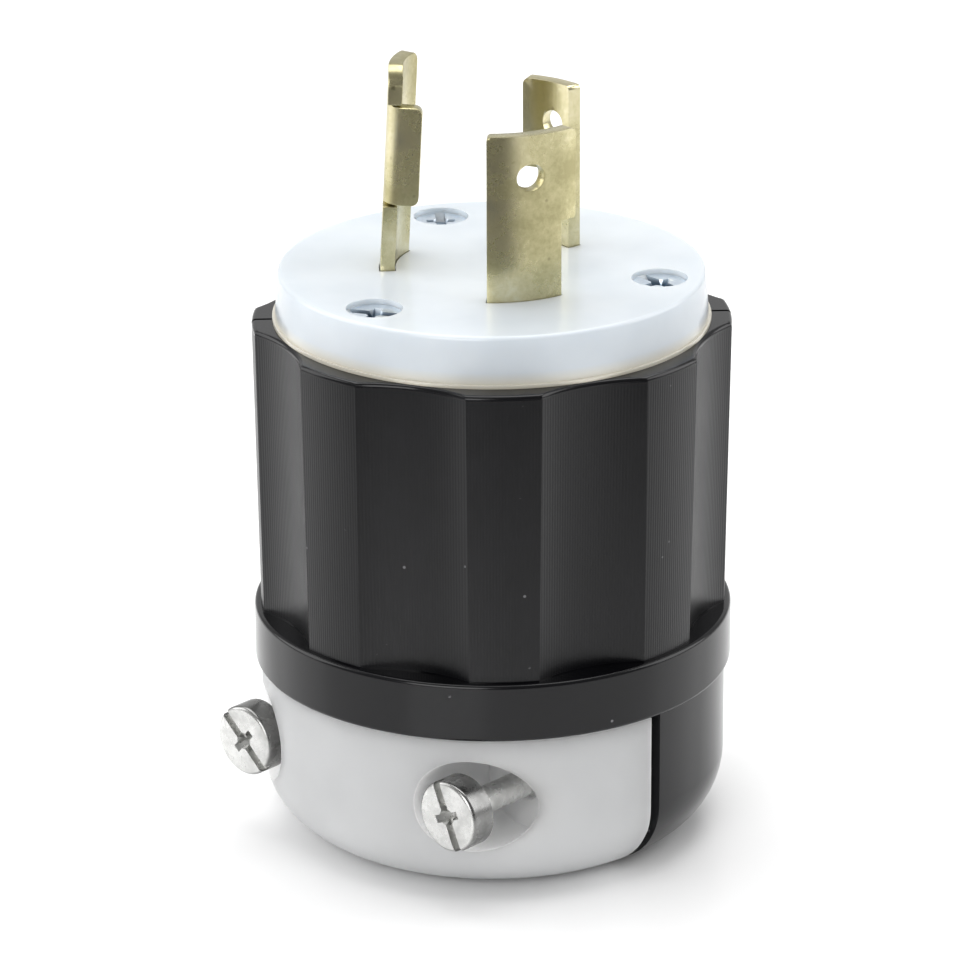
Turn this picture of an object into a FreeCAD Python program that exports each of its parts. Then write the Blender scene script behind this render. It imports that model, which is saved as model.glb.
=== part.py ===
"""Locking power plug, two curved poles and a hooked earth blade, standing on its cord end.

Frame: +Z is the plug's axis, towards the blades. The origin is on that axis, in the flat foot of
the cord end. The loose cord clamp faces -Y, and an azimuth is counted from -Y towards +X.
"""
import FreeCAD, Part
import math
import os
import Sketcher

V = FreeCAD.Vector
doc = FreeCAD.newDocument("LockingPlug")
sheet = doc.addObject("Spreadsheet::Sheet", "Sizes")

SIZES = [
    # The flange ring is the widest part, and the outlines above and below it step in from it
    ("flange_radius", 28.5),
    ("flange_height", 7.1),
    ("flange_round", 0.5),
    # Cord end: a fixed half on the housing and a loose half, both turned to one outline
    ("base_step", 0.7),
    ("base_height", 20.9),
    ("base_edge_round", 9.0),
    ("arch_wall", 4.5),
    ("arch_groove_depth", 0.8),
    ("arch_groove_width", 2.0),
    ("arch_groove_pitch", 6.2),
    ("fixed_half_past_axis", 1.5),
    ("clamp_slit", 1.45),
    ("clamp_top_gap", 0.3),
    ("clamp_end_round", 0.8),
    ("clamp_core_wall", 3.0),
    ("clamp_core_set_in", 1.2),
    ("clamp_core_web", 1.8),
    ("clamp_core_floor", 5.5),
    # Housing: scalloped grip and the wiring room inside
    ("grip_height", 35.3),
    ("grip_step", 0.77),
    ("grip_flare", 0.51),
    ("scallop_count", 8),
    ("scallop_foot_depth", 2.13),
    ("scallop_rim_depth", 2.09),
    ("scallop_foot_hollow", 18.35),
    ("rim_round", 0.5),
    ("rim_notch_width", 0.5),
    ("rim_notch_depth", 0.5),
    ("rim_notch_length", 2.4),
    ("mouth_seat", 2.33),
    ("room_draft", 0.2),
    ("room_floor_thickness", 3.5),
    ("cord_way_step", 0.7),
    ("pillar_radius", 4.0),
    ("pillar_height", 15.6),
    ("pillar_set_in", 3.4),
    ("pillar_hole_spare", 1.0),
    # White front
    ("face_height", 5.6),
    ("face_edge_round", 1.0),
    ("face_lip_set_in", 0.42),
    ("face_lip_step", 0.61),
    ("face_lip_height", 0.4),
    ("face_plate", 5.0),
    ("face_skirt_gap", 0.15),
    ("face_skirt_wall", 2.0),
    ("face_skirt_depth", 6.3),
    ("face_core_radius", 16.0),
    ("face_boss_radius", 3.2),
    ("slot_gap", 0.12),
    # Terminal block behind the front
    ("block_gap", 0.3),
    ("chamber_floor", 3.0),
    ("chamber_half_angle", 27.0),
    ("wire_hole_radius", 2.6),
    ("wire_hole_circle", 15.6),
    ("block_core_radius", 6.5),
    ("block_core_depth", 10.2),
    ("tip_relief_gap", 0.5),
    # Blades
    ("blade_outer_radius", 13.1),
    ("blade_thickness", 1.7),
    ("pole_height", 19.8),
    ("notch_height", 8.95),
    ("ground_notch_height", 8.2),
    ("tip_chamfer", 0.45),
    ("tip_round", 0.8),
    ("test_hole_radius", 1.6),
    ("test_hole_height", 14.75),
    ("test_hole_angle", 2.6),
    ("neutral_foot_half_angle", 20.25),
    ("neutral_hook_angle", 9.3),
    ("line_foot_half_angle", 10.7),
    ("line_hook_angle", 12.5),
    ("ground_foot_half_angle", 19.25),
    ("ground_hook_angle", 4.5),
    ("ground_height", 24.8),
    ("ground_flange_top", 20.1),
    ("ground_flange_width", 4.25),
    ("ground_lean", 3.0),
    ("ground_bend_radius", 12.0),
    ("tang_half_angle", 19.0),
    ("ear_half_angle", 24.0),
    ("ear_height", 2.0),
    ("ear_gap_angle", 0.6),
    ("tang_end_gap", 1.2),
    # Terminal screws and the plates under their heads
    ("terminal_screw_radius", 2.1),
    ("terminal_screw_length", 9.5),
    ("terminal_head_radius", 3.9),
    ("terminal_head_height", 2.3),
    ("terminal_head_round", 1.0),
    ("terminal_slot_depth", 1.15),
    ("terminal_slot_turn", 20.0),
    ("wire_gap", 2.6),
    ("wire_plate_thickness", 1.5),
    ("wire_plate_width", 9.4),
    ("wire_plate_end_gap", 1.5),
    ("wire_plate_round", 0.9),
    ("wire_groove_set_in", 1.05),
    ("wire_groove_width", 0.6),
    ("wire_groove_depth", 0.45),
    # Assembly screws, heads flush in the front
    ("assembly_screw_radius", 1.75),
    ("assembly_head_radius", 3.2),
    ("assembly_head_height", 1.9),
    ("assembly_head_edge", 0.1),
    ("assembly_sink", 0.6),
    ("assembly_slot_depth", 1.0),
    ("assembly_slot_turn", 25.0),
    ("assembly_grip", 9.0),
    ("screw_gap", 0.1),
    ("screw_tip_bevel", 0.6),
    # Clamp screws and their square nuts
    ("clamp_screw_set_in", 11.3),
    ("clamp_screw_height", 12.4),
    ("clamp_screw_radius", 2.05),
    ("clamp_neck_radius", 1.65),
    ("clamp_neck_length", 10.0),
    ("clamp_thread_length", 24.3),
    ("clamp_head_radius", 4.3),
    ("clamp_head_height", 3.5),
    ("clamp_head_round", 0.5),
    ("clamp_pocket_radius", 5.7),
    ("clamp_pocket_floor", 12.7),
    ("clamp_hole_gap", 0.2),
    ("thread_gap", 0.06),
    ("nut_width", 8.0),
    ("nut_height", 3.0),
    ("nut_seat", 8.5),
    ("nut_gap", 0.15),
    ("nut_bevel", 0.6),
    ("left_slot_turn", 60.0),
    ("right_slot_turn", 80.0),
    # Screwdriver slots, and how far a cutting shape runs past what it cuts
    ("slot_width", 1.1),
    ("slot_depth", 1.3),
    ("cross_extra_depth", 0.35),
    ("cutter_overrun", 1.0),
]


class Size:
    """A number together with the sheet expression that it comes from."""

    def __init__(self, number, text):
        self.number = float(number)
        self.text = text

    def joined(self, sign, other, number):
        return Size(number, "(%s %s %s)" % (self.text, sign, other.text))

    def __add__(self, other):
        other = as_size(other)
        return self.joined("+", other, self.number + other.number)

    def __sub__(self, other):
        other = as_size(other)
        return self.joined("-", other, self.number - other.number)

    def __mul__(self, other):
        other = as_size(other)
        return self.joined("*", other, self.number * other.number)

    def __truediv__(self, other):
        other = as_size(other)
        return self.joined("/", other, self.number / other.number)

    def __radd__(self, other):
        return as_size(other) + self

    def __rsub__(self, other):
        return as_size(other) - self

    def __rmul__(self, other):
        return as_size(other) * self

    def __rtruediv__(self, other):
        return as_size(other) / self

    def __neg__(self):
        return Size(-self.number, "(0 - %s)" % self.text)


def as_size(value):
    return value if isinstance(value, Size) else Size(value, repr(float(value)))


def cosine(angle):
    angle = as_size(angle)
    return Size(math.cos(math.radians(angle.number)), "cos(%s)" % angle.text)


def sine(angle):
    angle = as_size(angle)
    return Size(math.sin(math.radians(angle.number)), "sin(%s)" % angle.text)


for row, (alias, number) in enumerate(SIZES, start=1):
    sheet.set("A%d" % row, alias.replace("_", " "))
    sheet.set("B%d" % row, str(number))
    sheet.setAlias("B%d" % row, alias)
doc.recompute()


def size(alias):
    return Size(sheet.get(alias), "Sizes." + alias)


def bind(thing, field, value):
    thing.setExpression(field, as_size(value).text)


def new_body(label):
    body = doc.addObject("PartDesign::Body", label)
    body.Label = label
    return body


def origin_part(body, role):
    """A plane or an axis of the body's own origin."""
    return [thing for thing in body.Origin.OriginFeatures if thing.Role == role][0]


def place(body, x, y, z, turned=None):
    """Stands a finished body at (x, y, z) and binds that place to the sheet."""
    body.Placement = FreeCAD.Placement(V(0, 0, 0), turned or FreeCAD.Rotation())
    for axis, value in (("x", x), ("y", y), ("z", z)):
        bind(body, "Placement.Base." + axis, value)


def new_sketch(body, plane, name, lift=None):
    """An empty sketch on one of the body's own origin planes, lifted along that plane's normal."""
    sketch = body.newObject("Sketcher::SketchObject", name)
    sketch.AttachmentSupport = [(origin_part(body, plane), "")]
    sketch.MapMode = "FlatFace"
    if lift is not None:
        bind(sketch, "AttachmentOffset.Base.z", lift)
    return sketch


def hold(sketch, kind, value, *where):
    """Adds a constraint with a size and binds the size to the sheet."""
    value = as_size(value)
    index = sketch.addConstraint(Sketcher.Constraint(kind, *where, value.number))
    if "Sizes." in value.text:
        sketch.setExpression("Constraints[%d]" % index, value.text)


def pin(sketch, geometry, point, x, y):
    """Fixes one point of a line or circle at (x, y) of the sketch."""
    for kind, value, axis in (("DistanceX", x, -2), ("DistanceY", y, -1)):
        if not isinstance(value, Size) and value == 0:
            sketch.addConstraint(Sketcher.Constraint("PointOnObject", geometry, point, axis))
        else:
            hold(sketch, kind, value, -1, 1, geometry, point)


def at(x, y):
    return V(as_size(x).number, as_size(y).number, 0)


def outline(sketch, corners):
    """A closed outline. A corner is (x, y), or (x, y, radius, (cx, cy)) where an arc leaves it."""
    first = sketch.GeometryCount
    count = len(corners)
    ends = []
    for k, corner in enumerate(corners):
        start = at(*corner[:2])
        end = at(*corners[(k + 1) % count][:2])
        if len(corner) == 2:
            sketch.addGeometry(Part.LineSegment(start, end), False)
            ends.append((1, 2))
            continue
        centre = at(*corner[3])
        turns_left = (start - centre).cross(end - centre).z > 0
        low, high = (start, end) if turns_left else (end, start)
        circle = Part.Circle(centre, V(0, 0, 1), as_size(corner[2]).number)
        sketch.addGeometry(Part.ArcOfCircle(circle, circle.parameter(low), circle.parameter(high)), False)
        ends.append((1, 2) if turns_left else (2, 1))
    for k, corner in enumerate(corners):
        after = (k + 1) % count
        joint = (first + k, ends[k][1], first + after, ends[after][0])
        sketch.addConstraint(Sketcher.Constraint("Coincident", *joint))
    for k, corner in enumerate(corners):
        pin(sketch, first + k, ends[k][0], corner[0], corner[1])
        if len(corner) > 2:
            hold(sketch, "Radius", corner[2], first + k)


def rectangle(sketch, low_x, high_x, low_y, high_y):
    outline(sketch, [(low_x, low_y), (high_x, low_y), (high_x, high_y), (low_x, high_y)])


def circle(sketch, x, y, radius):
    index = sketch.addGeometry(Part.Circle(at(x, y), V(0, 0, 1), as_size(radius).number), False)
    pin(sketch, index, 3, x, y)
    hold(sketch, "Radius", radius, index)


def sector(sketch, inner, outer, start, end):
    """A piece of a ring about the sketch's origin, between two azimuths counted from -Y."""
    corners = []
    for radius, azimuth in ((inner, start), (outer, start), (outer, end), (inner, end)):
        corners.append((radius * sine(azimuth), -(radius * cosine(azimuth))))
    corners[1] += (outer, (0, 0))
    corners[3] += (inner, (0, 0))
    outline(sketch, corners)


def pad(body, sketch, length, name, back=False):
    feature = body.newObject("PartDesign::Pad", name)
    feature.Profile = sketch
    feature.Reversed = back
    bind(feature, "Length", length)
    return feature


def turn(body, sketch, name):
    """Turns a sketch about its own upright axis."""
    feature = body.newObject("PartDesign::Revolution", name)
    feature.Profile = sketch
    feature.ReferenceAxis = (sketch, ["V_Axis"])
    feature.Angle = 360
    doc.recompute()
    return feature


def cut(body, sketch, name, length=None, back=False):
    """Pockets a sketch against its normal, or along it with back, and makes sure that it cuts."""
    doc.recompute()
    before = body.Shape.Volume
    feature = body.newObject("PartDesign::Pocket", name)
    feature.Profile = sketch
    feature.Reversed = back
    if length is None:
        feature.Type = "ThroughAll"
    else:
        bind(feature, "Length", length)
    doc.recompute()
    if not body.Shape.Volume < before - 1e-6:
        raise RuntimeError("%s cuts nothing" % name)
    return feature


def around(body, feature, count, name):
    """Repeats a feature about the upright axis."""
    pattern = body.newObject("PartDesign::PolarPattern", name)
    pattern.Originals = [feature]
    pattern.Axis = (origin_part(body, "Z_Axis"), [""])
    pattern.Angle = 360
    bind(pattern, "Occurrences", count)
    body.Tip = pattern
    doc.recompute()
    return pattern


def edges_where(body, wanted):
    """Names of the edges whose ends and middle all meet a condition on (radius, z, point)."""
    names = []
    for k, edge in enumerate(body.Shape.Edges, start=1):
        middle = edge.valueAt((edge.FirstParameter + edge.LastParameter) / 2)
        points = [middle] + [vertex.Point for vertex in edge.Vertexes]
        if all(wanted(math.hypot(p.x, p.y), p.z, p) for p in points):
            names.append("Edge%d" % k)
    return names


def soften(body, kind, names, amount, name):
    """Rounds or bevels the named edges of the body's last feature."""
    if not names:
        raise RuntimeError("%s has no edges" % name)
    field = "Radius" if kind == "Fillet" else "Size"
    base = body.Tip
    feature = body.newObject("PartDesign::" + kind, name)
    feature.Base = (base, names)
    bind(feature, field, amount)
    doc.recompute()
    return feature


def near(a, b, within=0.02):
    return abs(a - as_size(b).number) < within


# Radii, heights and places that several pieces share
base_radius = size("flange_radius") - size("base_step")
foot_radius = base_radius - size("base_edge_round")
screw_side = base_radius - size("clamp_screw_set_in")
arch_radius = screw_side - size("arch_wall")
cord_way_radius = arch_radius + size("arch_groove_depth") + size("cord_way_step")
jaw_face = size("fixed_half_past_axis") + size("clamp_slit")
land_foot_radius = size("flange_radius") - size("grip_step")
land_rim_radius = land_foot_radius + size("grip_flare")
scallop_foot_radius = land_foot_radius - size("scallop_foot_depth")
scallop_rim_radius = land_rim_radius - size("scallop_rim_depth")
scallop_axis_radius = scallop_foot_radius + size("scallop_foot_hollow")
half_pitch = 180 / size("scallop_count")
face_lip_radius = scallop_rim_radius - size("face_lip_set_in")
face_radius = face_lip_radius - size("face_lip_step")
mouth_radius = face_lip_radius - size("mouth_seat")
room_floor_radius = mouth_radius - size("room_draft")
assembly_circle = mouth_radius - size("pillar_set_in")
block_radius = room_floor_radius - size("block_gap")
overrun = size("cutter_overrun")
flange_foot = size("base_height")
grip_foot = flange_foot + size("flange_height")
rim = grip_foot + size("grip_height")
face_top = rim + size("face_lip_height") + size("face_height")
face_back = rim - size("face_skirt_depth")
room_floor = flange_foot + size("room_floor_thickness")
block_foot = room_floor + size("pillar_height")
block_top = face_back
blade_inner = size("blade_outer_radius") - size("blade_thickness")
chamber_foot = block_foot + size("chamber_floor")
chamber_top = block_top - size("ear_height")
terminal_height = (chamber_foot + chamber_top) / 2
wire_plate_seat = size("blade_outer_radius") + size("wire_gap")
terminal_head_seat = wire_plate_seat + size("wire_plate_thickness")
COUNT_OF_BLADES = 3
NEUTRAL_AZIMUTH = 60
LINE_AZIMUTH = 180
GROUND_AZIMUTH = 300


def base_side(top):
    """The outer side of the cord end, from the foot's edge up to a height."""
    low = size("base_edge_round")
    return [
        (foot_radius, 0, low, (foot_radius, low)),
        (base_radius, low),
        (base_radius, top),
    ]


def groove_foot(k):
    """Height of the k-th groove of the cord arch, counted from the foot."""
    return size("arch_groove_pitch") * k - size("arch_groove_pitch") / 2


def arch_side(top):
    """The grooved wall of the cord arch, from the top down, as corners of a turned outline."""
    deep = arch_radius + size("arch_groove_depth")
    corners = [(arch_radius, top)]
    for k in (3, 2, 1):
        high = groove_foot(k) + size("arch_groove_width")
        corners += [(arch_radius, high), (deep, high), (deep, groove_foot(k)), (arch_radius, groove_foot(k))]
    return corners + [(arch_radius, 0)]


def build_housing():
    body = new_body("housing")
    flange = size("flange_radius")
    soft = size("flange_round")
    sketch = new_sketch(body, "XZ_Plane", "housing_outline")
    outline(sketch, base_side(flange_foot) + [
        (flange - soft, flange_foot, soft, (flange - soft, flange_foot + soft)),
        (flange, flange_foot + soft),
        (flange, grip_foot - soft, soft, (flange - soft, grip_foot - soft)),
        (flange - soft, grip_foot),
        (land_foot_radius, grip_foot),
        (land_rim_radius, rim),
        (mouth_radius, rim),
        (room_floor_radius, room_floor),
        (cord_way_radius, room_floor),
        (cord_way_radius, flange_foot),
    ] + arch_side(flange_foot))
    turn(body, sketch, "housing_turned")

    # Eight shallow finger scallops, cut by cones because the grip widens towards the rim
    cone = body.newObject("PartDesign::SubtractiveCone", "scallop")
    bind(cone, "Radius1", scallop_axis_radius - scallop_foot_radius)
    bind(cone, "Radius2", scallop_axis_radius - scallop_rim_radius)
    bind(cone, "Height", size("grip_height"))
    cone.AttachmentSupport = [(origin_part(body, "XY_Plane"), "")]
    cone.MapMode = "FlatFace"
    bind(cone, "AttachmentOffset.Base.x", scallop_axis_radius * sine(half_pitch))
    bind(cone, "AttachmentOffset.Base.y", -(scallop_axis_radius * cosine(half_pitch)))
    bind(cone, "AttachmentOffset.Base.z", grip_foot)
    around(body, cone, size("scallop_count"), "scallops")
    outer = edges_where(body, lambda r, z, p: near(z, rim) and r > face_lip_radius.number)
    soften(body, "Fillet", outer, size("rim_round"), "rim_rounded")

    # Room for the loose half of the clamp
    sketch = new_sketch(body, "XY_Plane", "clamp_room_outline")
    reach = size("flange_radius") + overrun
    rectangle(sketch, -reach, reach, -reach, -size("fixed_half_past_axis"))
    cut(body, sketch, "clamp_room", flange_foot, back=True)

    # Screw ways through the fixed half, and square pockets from behind for the nuts
    sketch = new_sketch(body, "XZ_Plane", "screw_way_outline", size("fixed_half_past_axis"))
    for side in (-1, 1):
        way = size("clamp_screw_radius") + size("clamp_hole_gap")
        circle(sketch, screw_side * side, size("clamp_screw_height"), way)
    cut(body, sketch, "screw_ways")
    sketch = new_sketch(body, "XZ_Plane", "nut_pocket_outline", -size("nut_seat"))
    half = size("nut_width") / 2 + size("nut_gap")
    for side in (-1, 1):
        middle = screw_side * side
        height = size("clamp_screw_height")
        rectangle(sketch, middle - half, middle + half, height - half, height + half)
    cut(body, sketch, "nut_pockets")

    # Three pillars that carry the terminal block and take the assembly screws
    sketch = new_sketch(body, "XY_Plane", "pillar_outline", room_floor)
    circle(sketch, 0, -assembly_circle, size("pillar_radius"))
    pillar = pad(body, sketch, size("pillar_height"), "pillar")
    around(body, pillar, COUNT_OF_BLADES, "pillars")
    sketch = new_sketch(body, "XY_Plane", "pillar_hole_outline", block_foot)
    circle(sketch, 0, -assembly_circle, size("assembly_screw_radius") + size("thread_gap"))
    hole = cut(body, sketch, "pillar_hole", size("assembly_grip") + size("pillar_hole_spare"))
    around(body, hole, COUNT_OF_BLADES, "pillar_holes")

    # Two fine marks across the rim, on opposite lands
    sketch = new_sketch(body, "XY_Plane", "rim_notch_outline", rim)
    wide = size("rim_notch_width") / 2
    rectangle(sketch, -wide, wide, -(land_rim_radius + overrun), -(land_rim_radius - size("rim_notch_length")))
    sketch.AttachmentOffset = FreeCAD.Placement(V(0, 0, 0), FreeCAD.Rotation(V(0, 0, 1), 135))
    bind(sketch, "AttachmentOffset.Base.z", rim)
    notch = cut(body, sketch, "rim_notch", size("rim_notch_depth"))
    around(body, notch, 2, "rim_notches")
    return body


def build_front_face():
    body = new_body("front_face")
    skirt = mouth_radius - size("face_skirt_gap")
    plate_foot = face_top - size("face_plate")
    soft = size("face_edge_round")
    sketch = new_sketch(body, "XZ_Plane", "face_outline")
    outline(sketch, [
        (0, face_back),
        (size("face_core_radius"), face_back),
        (size("face_core_radius"), plate_foot),
        (skirt - size("face_skirt_wall"), plate_foot),
        (skirt - size("face_skirt_wall"), face_back),
        (skirt, face_back),
        (skirt, rim),
        (face_lip_radius, rim),
        (face_lip_radius, rim + size("face_lip_height")),
        (face_radius, rim + size("face_lip_height")),
        (face_radius, face_top - soft, soft, (face_radius - soft, face_top - soft)),
        (face_radius - soft, face_top),
        (0, face_top),
    ])
    turn(body, sketch, "face_turned")

    # Bosses under the plate keep the assembly screws straight
    sketch = new_sketch(body, "XY_Plane", "face_boss_outline", face_back)
    circle(sketch, 0, -assembly_circle, size("face_boss_radius"))
    boss = pad(body, sketch, face_top - overrun - face_back, "face_boss")
    around(body, boss, COUNT_OF_BLADES, "face_bosses")

    # Screw holes, each with a countersink and a shallow round seat that leave the head just under the surface
    sketch = new_sketch(body, "XY_Plane", "face_hole_outline", face_top)
    way = size("assembly_screw_radius") + size("screw_gap")
    circle(sketch, 0, -assembly_circle, way)
    hole = cut(body, sketch, "face_hole")
    around(body, hole, COUNT_OF_BLADES, "face_holes")
    sunk = size("assembly_sink")
    sketch = new_sketch(body, "XY_Plane", "head_seat_outline", face_top)
    circle(sketch, 0, -assembly_circle, size("assembly_head_radius") + size("screw_gap"))
    seat = cut(body, sketch, "head_seat", sunk)
    around(body, seat, COUNT_OF_BLADES, "head_seats")
    sink = body.newObject("PartDesign::SubtractiveCone", "countersink")
    bind(sink, "Radius1", way)
    bind(sink, "Radius2", size("assembly_head_radius") + size("screw_gap"))
    bind(sink, "Height", size("assembly_head_height"))
    sink.AttachmentSupport = [(origin_part(body, "XY_Plane"), "")]
    sink.MapMode = "FlatFace"
    bind(sink, "AttachmentOffset.Base.y", -assembly_circle)
    bind(sink, "AttachmentOffset.Base.z", face_top - sunk - size("assembly_head_height"))
    around(body, sink, COUNT_OF_BLADES, "countersinks")

    # A close slot for each blade
    for name, azimuth in (("neutral", NEUTRAL_AZIMUTH), ("line", LINE_AZIMUTH), ("ground", GROUND_AZIMUTH)):
        gap = size("slot_gap")
        extra = gap / size("blade_outer_radius") * (180 / math.pi)
        half = size(name + "_foot_half_angle") + extra
        sketch = new_sketch(body, "XY_Plane", name + "_slot_outline", face_top)
        sector(sketch, blade_inner - gap, size("blade_outer_radius") + gap, azimuth - half, azimuth + half)
        cut(body, sketch, name + "_slot")
    return body


def build_terminal_block():
    body = new_body("terminal_block")
    sketch = new_sketch(body, "XY_Plane", "block_outline", block_foot)
    circle(sketch, 0, 0, block_radius)
    pad(body, sketch, block_top - block_foot, "block_padded")

    # Three wiring chambers, open to the side, behind the blades
    gap = size("slot_gap")
    wide = size("chamber_half_angle")
    sketch = new_sketch(body, "XY_Plane", "chamber_outline", chamber_top)
    sector(sketch, blade_inner - gap, block_radius + overrun, LINE_AZIMUTH - wide, LINE_AZIMUTH + wide)
    chamber = cut(body, sketch, "chamber", chamber_top - chamber_foot)
    around(body, chamber, COUNT_OF_BLADES, "chambers")

    # The roof has a seat right through it for the blade's ears
    ear = size("ear_half_angle") + size("ear_gap_angle")
    outer = size("blade_outer_radius") + gap
    sketch = new_sketch(body, "XY_Plane", "ear_seat_outline", block_top)
    sector(sketch, blade_inner - gap, outer, LINE_AZIMUTH - ear, LINE_AZIMUTH + ear)
    seat = cut(body, sketch, "ear_seat", size("ear_height"))
    around(body, seat, COUNT_OF_BLADES, "ear_seats")

    # Relief for the terminal screw's tip, wire way from below, screw ways and a cored middle
    tip = terminal_head_seat - size("terminal_screw_length") - size("tip_relief_gap")
    sketch = new_sketch(body, "XZ_Plane", "tip_relief_outline", -tip)
    circle(sketch, 0, terminal_height, size("terminal_screw_radius") + size("screw_gap") * 2)
    relief = cut(body, sketch, "tip_relief", blade_inner - tip + overrun)
    around(body, relief, COUNT_OF_BLADES, "tip_reliefs")
    sketch = new_sketch(body, "XY_Plane", "wire_way_outline", block_foot)
    circle(sketch, 0, size("wire_hole_circle"), size("wire_hole_radius"))
    way = cut(body, sketch, "wire_way", size("chamber_floor") + overrun, back=True)
    around(body, way, COUNT_OF_BLADES, "wire_ways")
    sketch = new_sketch(body, "XY_Plane", "block_hole_outline", block_top)
    circle(sketch, 0, -assembly_circle, size("assembly_screw_radius") + size("screw_gap"))
    hole = cut(body, sketch, "block_hole")
    around(body, hole, COUNT_OF_BLADES, "block_holes")
    sketch = new_sketch(body, "XY_Plane", "block_core_outline", block_foot)
    circle(sketch, 0, 0, size("block_core_radius"))
    cut(body, sketch, "block_core", size("block_core_depth"), back=True)
    return body


def build_blade(name, azimuth, foot_half, hook, height, lean):
    """A brass blade with its foot centred on -Y, then turned to its azimuth about the plug's axis.

    From the back: a tang with the screw hole, ears that the front and the block trap, a foot that
    fits the slot, and past the notch a wider part whose hook points to the growing azimuth.
    """
    body = new_body(name + "_blade")
    outer = size("blade_outer_radius")
    tang_foot = chamber_foot + size("tang_end_gap")
    tang = size("tang_half_angle")
    ear = size("ear_half_angle")
    sketch = new_sketch(body, "XY_Plane", name + "_tang_outline", tang_foot)
    sector(sketch, blade_inner, outer, -tang, tang)
    pad(body, sketch, block_top - tang_foot, name + "_tang")
    sketch = new_sketch(body, "XY_Plane", name + "_ear_outline", block_top - size("ear_height"))
    sector(sketch, blade_inner, outer, -ear, ear)
    pad(body, sketch, size("ear_height"), name + "_ears")
    sketch = new_sketch(body, "XY_Plane", name + "_foot_outline", block_top)
    sector(sketch, blade_inner, outer, -foot_half, foot_half)
    pad(body, sketch, face_top - block_top, name + "_foot")
    pivot = outer
    bend_length = as_size(0)
    if lean.number:
        # The blade is bent inwards just above the face, about a line across its inner side
        pivot = outer - size("ground_bend_radius")
        bend_length = size("ground_bend_radius") * lean * (math.pi / 180)
        sketch = new_sketch(body, "XY_Plane", name + "_bend_outline", face_top)
        sector(sketch, blade_inner, outer, -foot_half, foot_half)
        axis = sketch.addGeometry(Part.LineSegment(at(-1, -pivot), at(1, -pivot)), True)
        pin(sketch, axis, 1, -1, -pivot)
        pin(sketch, axis, 2, 1, -pivot)
        bend = body.newObject("PartDesign::Revolution", name + "_bend")
        bend.Profile = sketch
        bend.ReferenceAxis = (sketch, ["Axis0"])
        bend.Reversed = True
        bind(bend, "Angle", lean)

    def leaning(suffix, height_above_face):
        """A sketch across the blade, at a height that is counted along the leaning blade."""
        drawn = new_sketch(body, "XY_Plane", name + suffix)
        drawn.AttachmentOffset = FreeCAD.Placement(V(0, 0, 0), FreeCAD.Rotation(V(1, 0, 0), -lean.number))
        along = height_above_face - bend_length
        bind(drawn, "AttachmentOffset.Base.y", pivot * cosine(lean) - pivot + along * sine(lean))
        bind(drawn, "AttachmentOffset.Base.z", face_top - pivot * sine(lean) + along * cosine(lean))
        return drawn

    sketch = leaning("_narrow_outline", bend_length)
    sector(sketch, blade_inner, outer, -foot_half, foot_half)
    pad(body, sketch, height - bend_length, name + "_narrow")
    notch = size("notch_height")
    hook_top = height
    if name == "ground":
        notch = size("ground_notch_height")
        hook_top = size("ground_flange_top")
    sketch = leaning("_wide_outline", notch)
    sector(sketch, blade_inner, outer, -foot_half, foot_half + hook)
    pad(body, sketch, hook_top - notch, name + "_wide")
    if name == "ground":
        # The hook is a flange folded inwards along the blade's leading edge
        sketch = leaning("_flange_outline", notch)
        end = foot_half + hook
        root = outer - size("blade_thickness") / 2
        inner = outer - size("ground_flange_width")
        thick_x = size("blade_thickness") * cosine(end)
        thick_y = size("blade_thickness") * sine(end)
        outline(sketch, [
            (root * sine(end), -(root * cosine(end))),
            (inner * sine(end), -(inner * cosine(end))),
            (inner * sine(end) - thick_x, -(inner * cosine(end)) - thick_y),
            (root * sine(end) - thick_x, -(root * cosine(end)) - thick_y),
        ])
        pad(body, sketch, hook_top - notch, name + "_flange")

    sketch = new_sketch(body, "XZ_Plane", name + "_screw_hole_outline")
    circle(sketch, 0, terminal_height, size("terminal_screw_radius") + size("thread_gap"))
    cut(body, sketch, name + "_screw_hole", back=True)
    if name != "ground":
        sketch = new_sketch(body, "XZ_Plane", name + "_test_hole_outline")
        along = outer * sine(size("test_hole_angle"))
        circle(sketch, along, face_top + size("test_hole_height"), size("test_hole_radius"))
        cut(body, sketch, name + "_test_hole", back=True)

    # Lead-in: the tip's two corners are rounded, and the outer edge of a pole's tip is bevelled
    slack = 2 * outer.number * math.sin(math.radians(lean.number)) + 0.1
    top = face_top.number + height.number - slack
    thick = size("blade_thickness").number

    def at_tip(edge):
        return all(vertex.Z > top for vertex in edge.Vertexes)

    corners = []
    for k, edge in enumerate(body.Shape.Edges, start=1):
        if at_tip(edge) and len(edge.Vertexes) == 2 and edge.Length < thick + 0.05:
            corners.append("Edge%d" % k)
    soften(body, "Fillet", corners, size("tip_round"), name + "_tip_rounded")
    if name != "ground":
        edge = edges_where(body, lambda r, z, p: near(z, face_top + height) and near(r, outer))
        soften(body, "Chamfer", edge, size("tip_chamfer"), name + "_tip_bevelled")
    place(body, 0, 0, 0, FreeCAD.Rotation(V(0, 0, 1), azimuth))
    return body


def slotted_head(body, top, reach, depth, name):
    """A screwdriver slot across a head, and the short cross that goes with it."""
    sketch = new_sketch(body, "XY_Plane", name + "_slot_outline", top)
    half = size("slot_width") / 2
    rectangle(sketch, -reach, reach, -half, half)
    cut(body, sketch, name + "_slot", depth)
    sketch = new_sketch(body, "XY_Plane", name + "_cross_outline", top)
    arm = reach / 2
    rectangle(sketch, -half, half, -arm, arm)
    cut(body, sketch, name + "_cross", depth + size("cross_extra_depth"))


def outwards(azimuth, spin=0):
    """Turns a piece drawn along +Z to point outwards at an azimuth, after a spin about its own axis."""
    turned = FreeCAD.Rotation(V(0, 0, 1), azimuth) * FreeCAD.Rotation(V(1, 0, 0), 90)
    return turned * FreeCAD.Rotation(V(0, 0, 1), as_size(spin).number)


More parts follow.
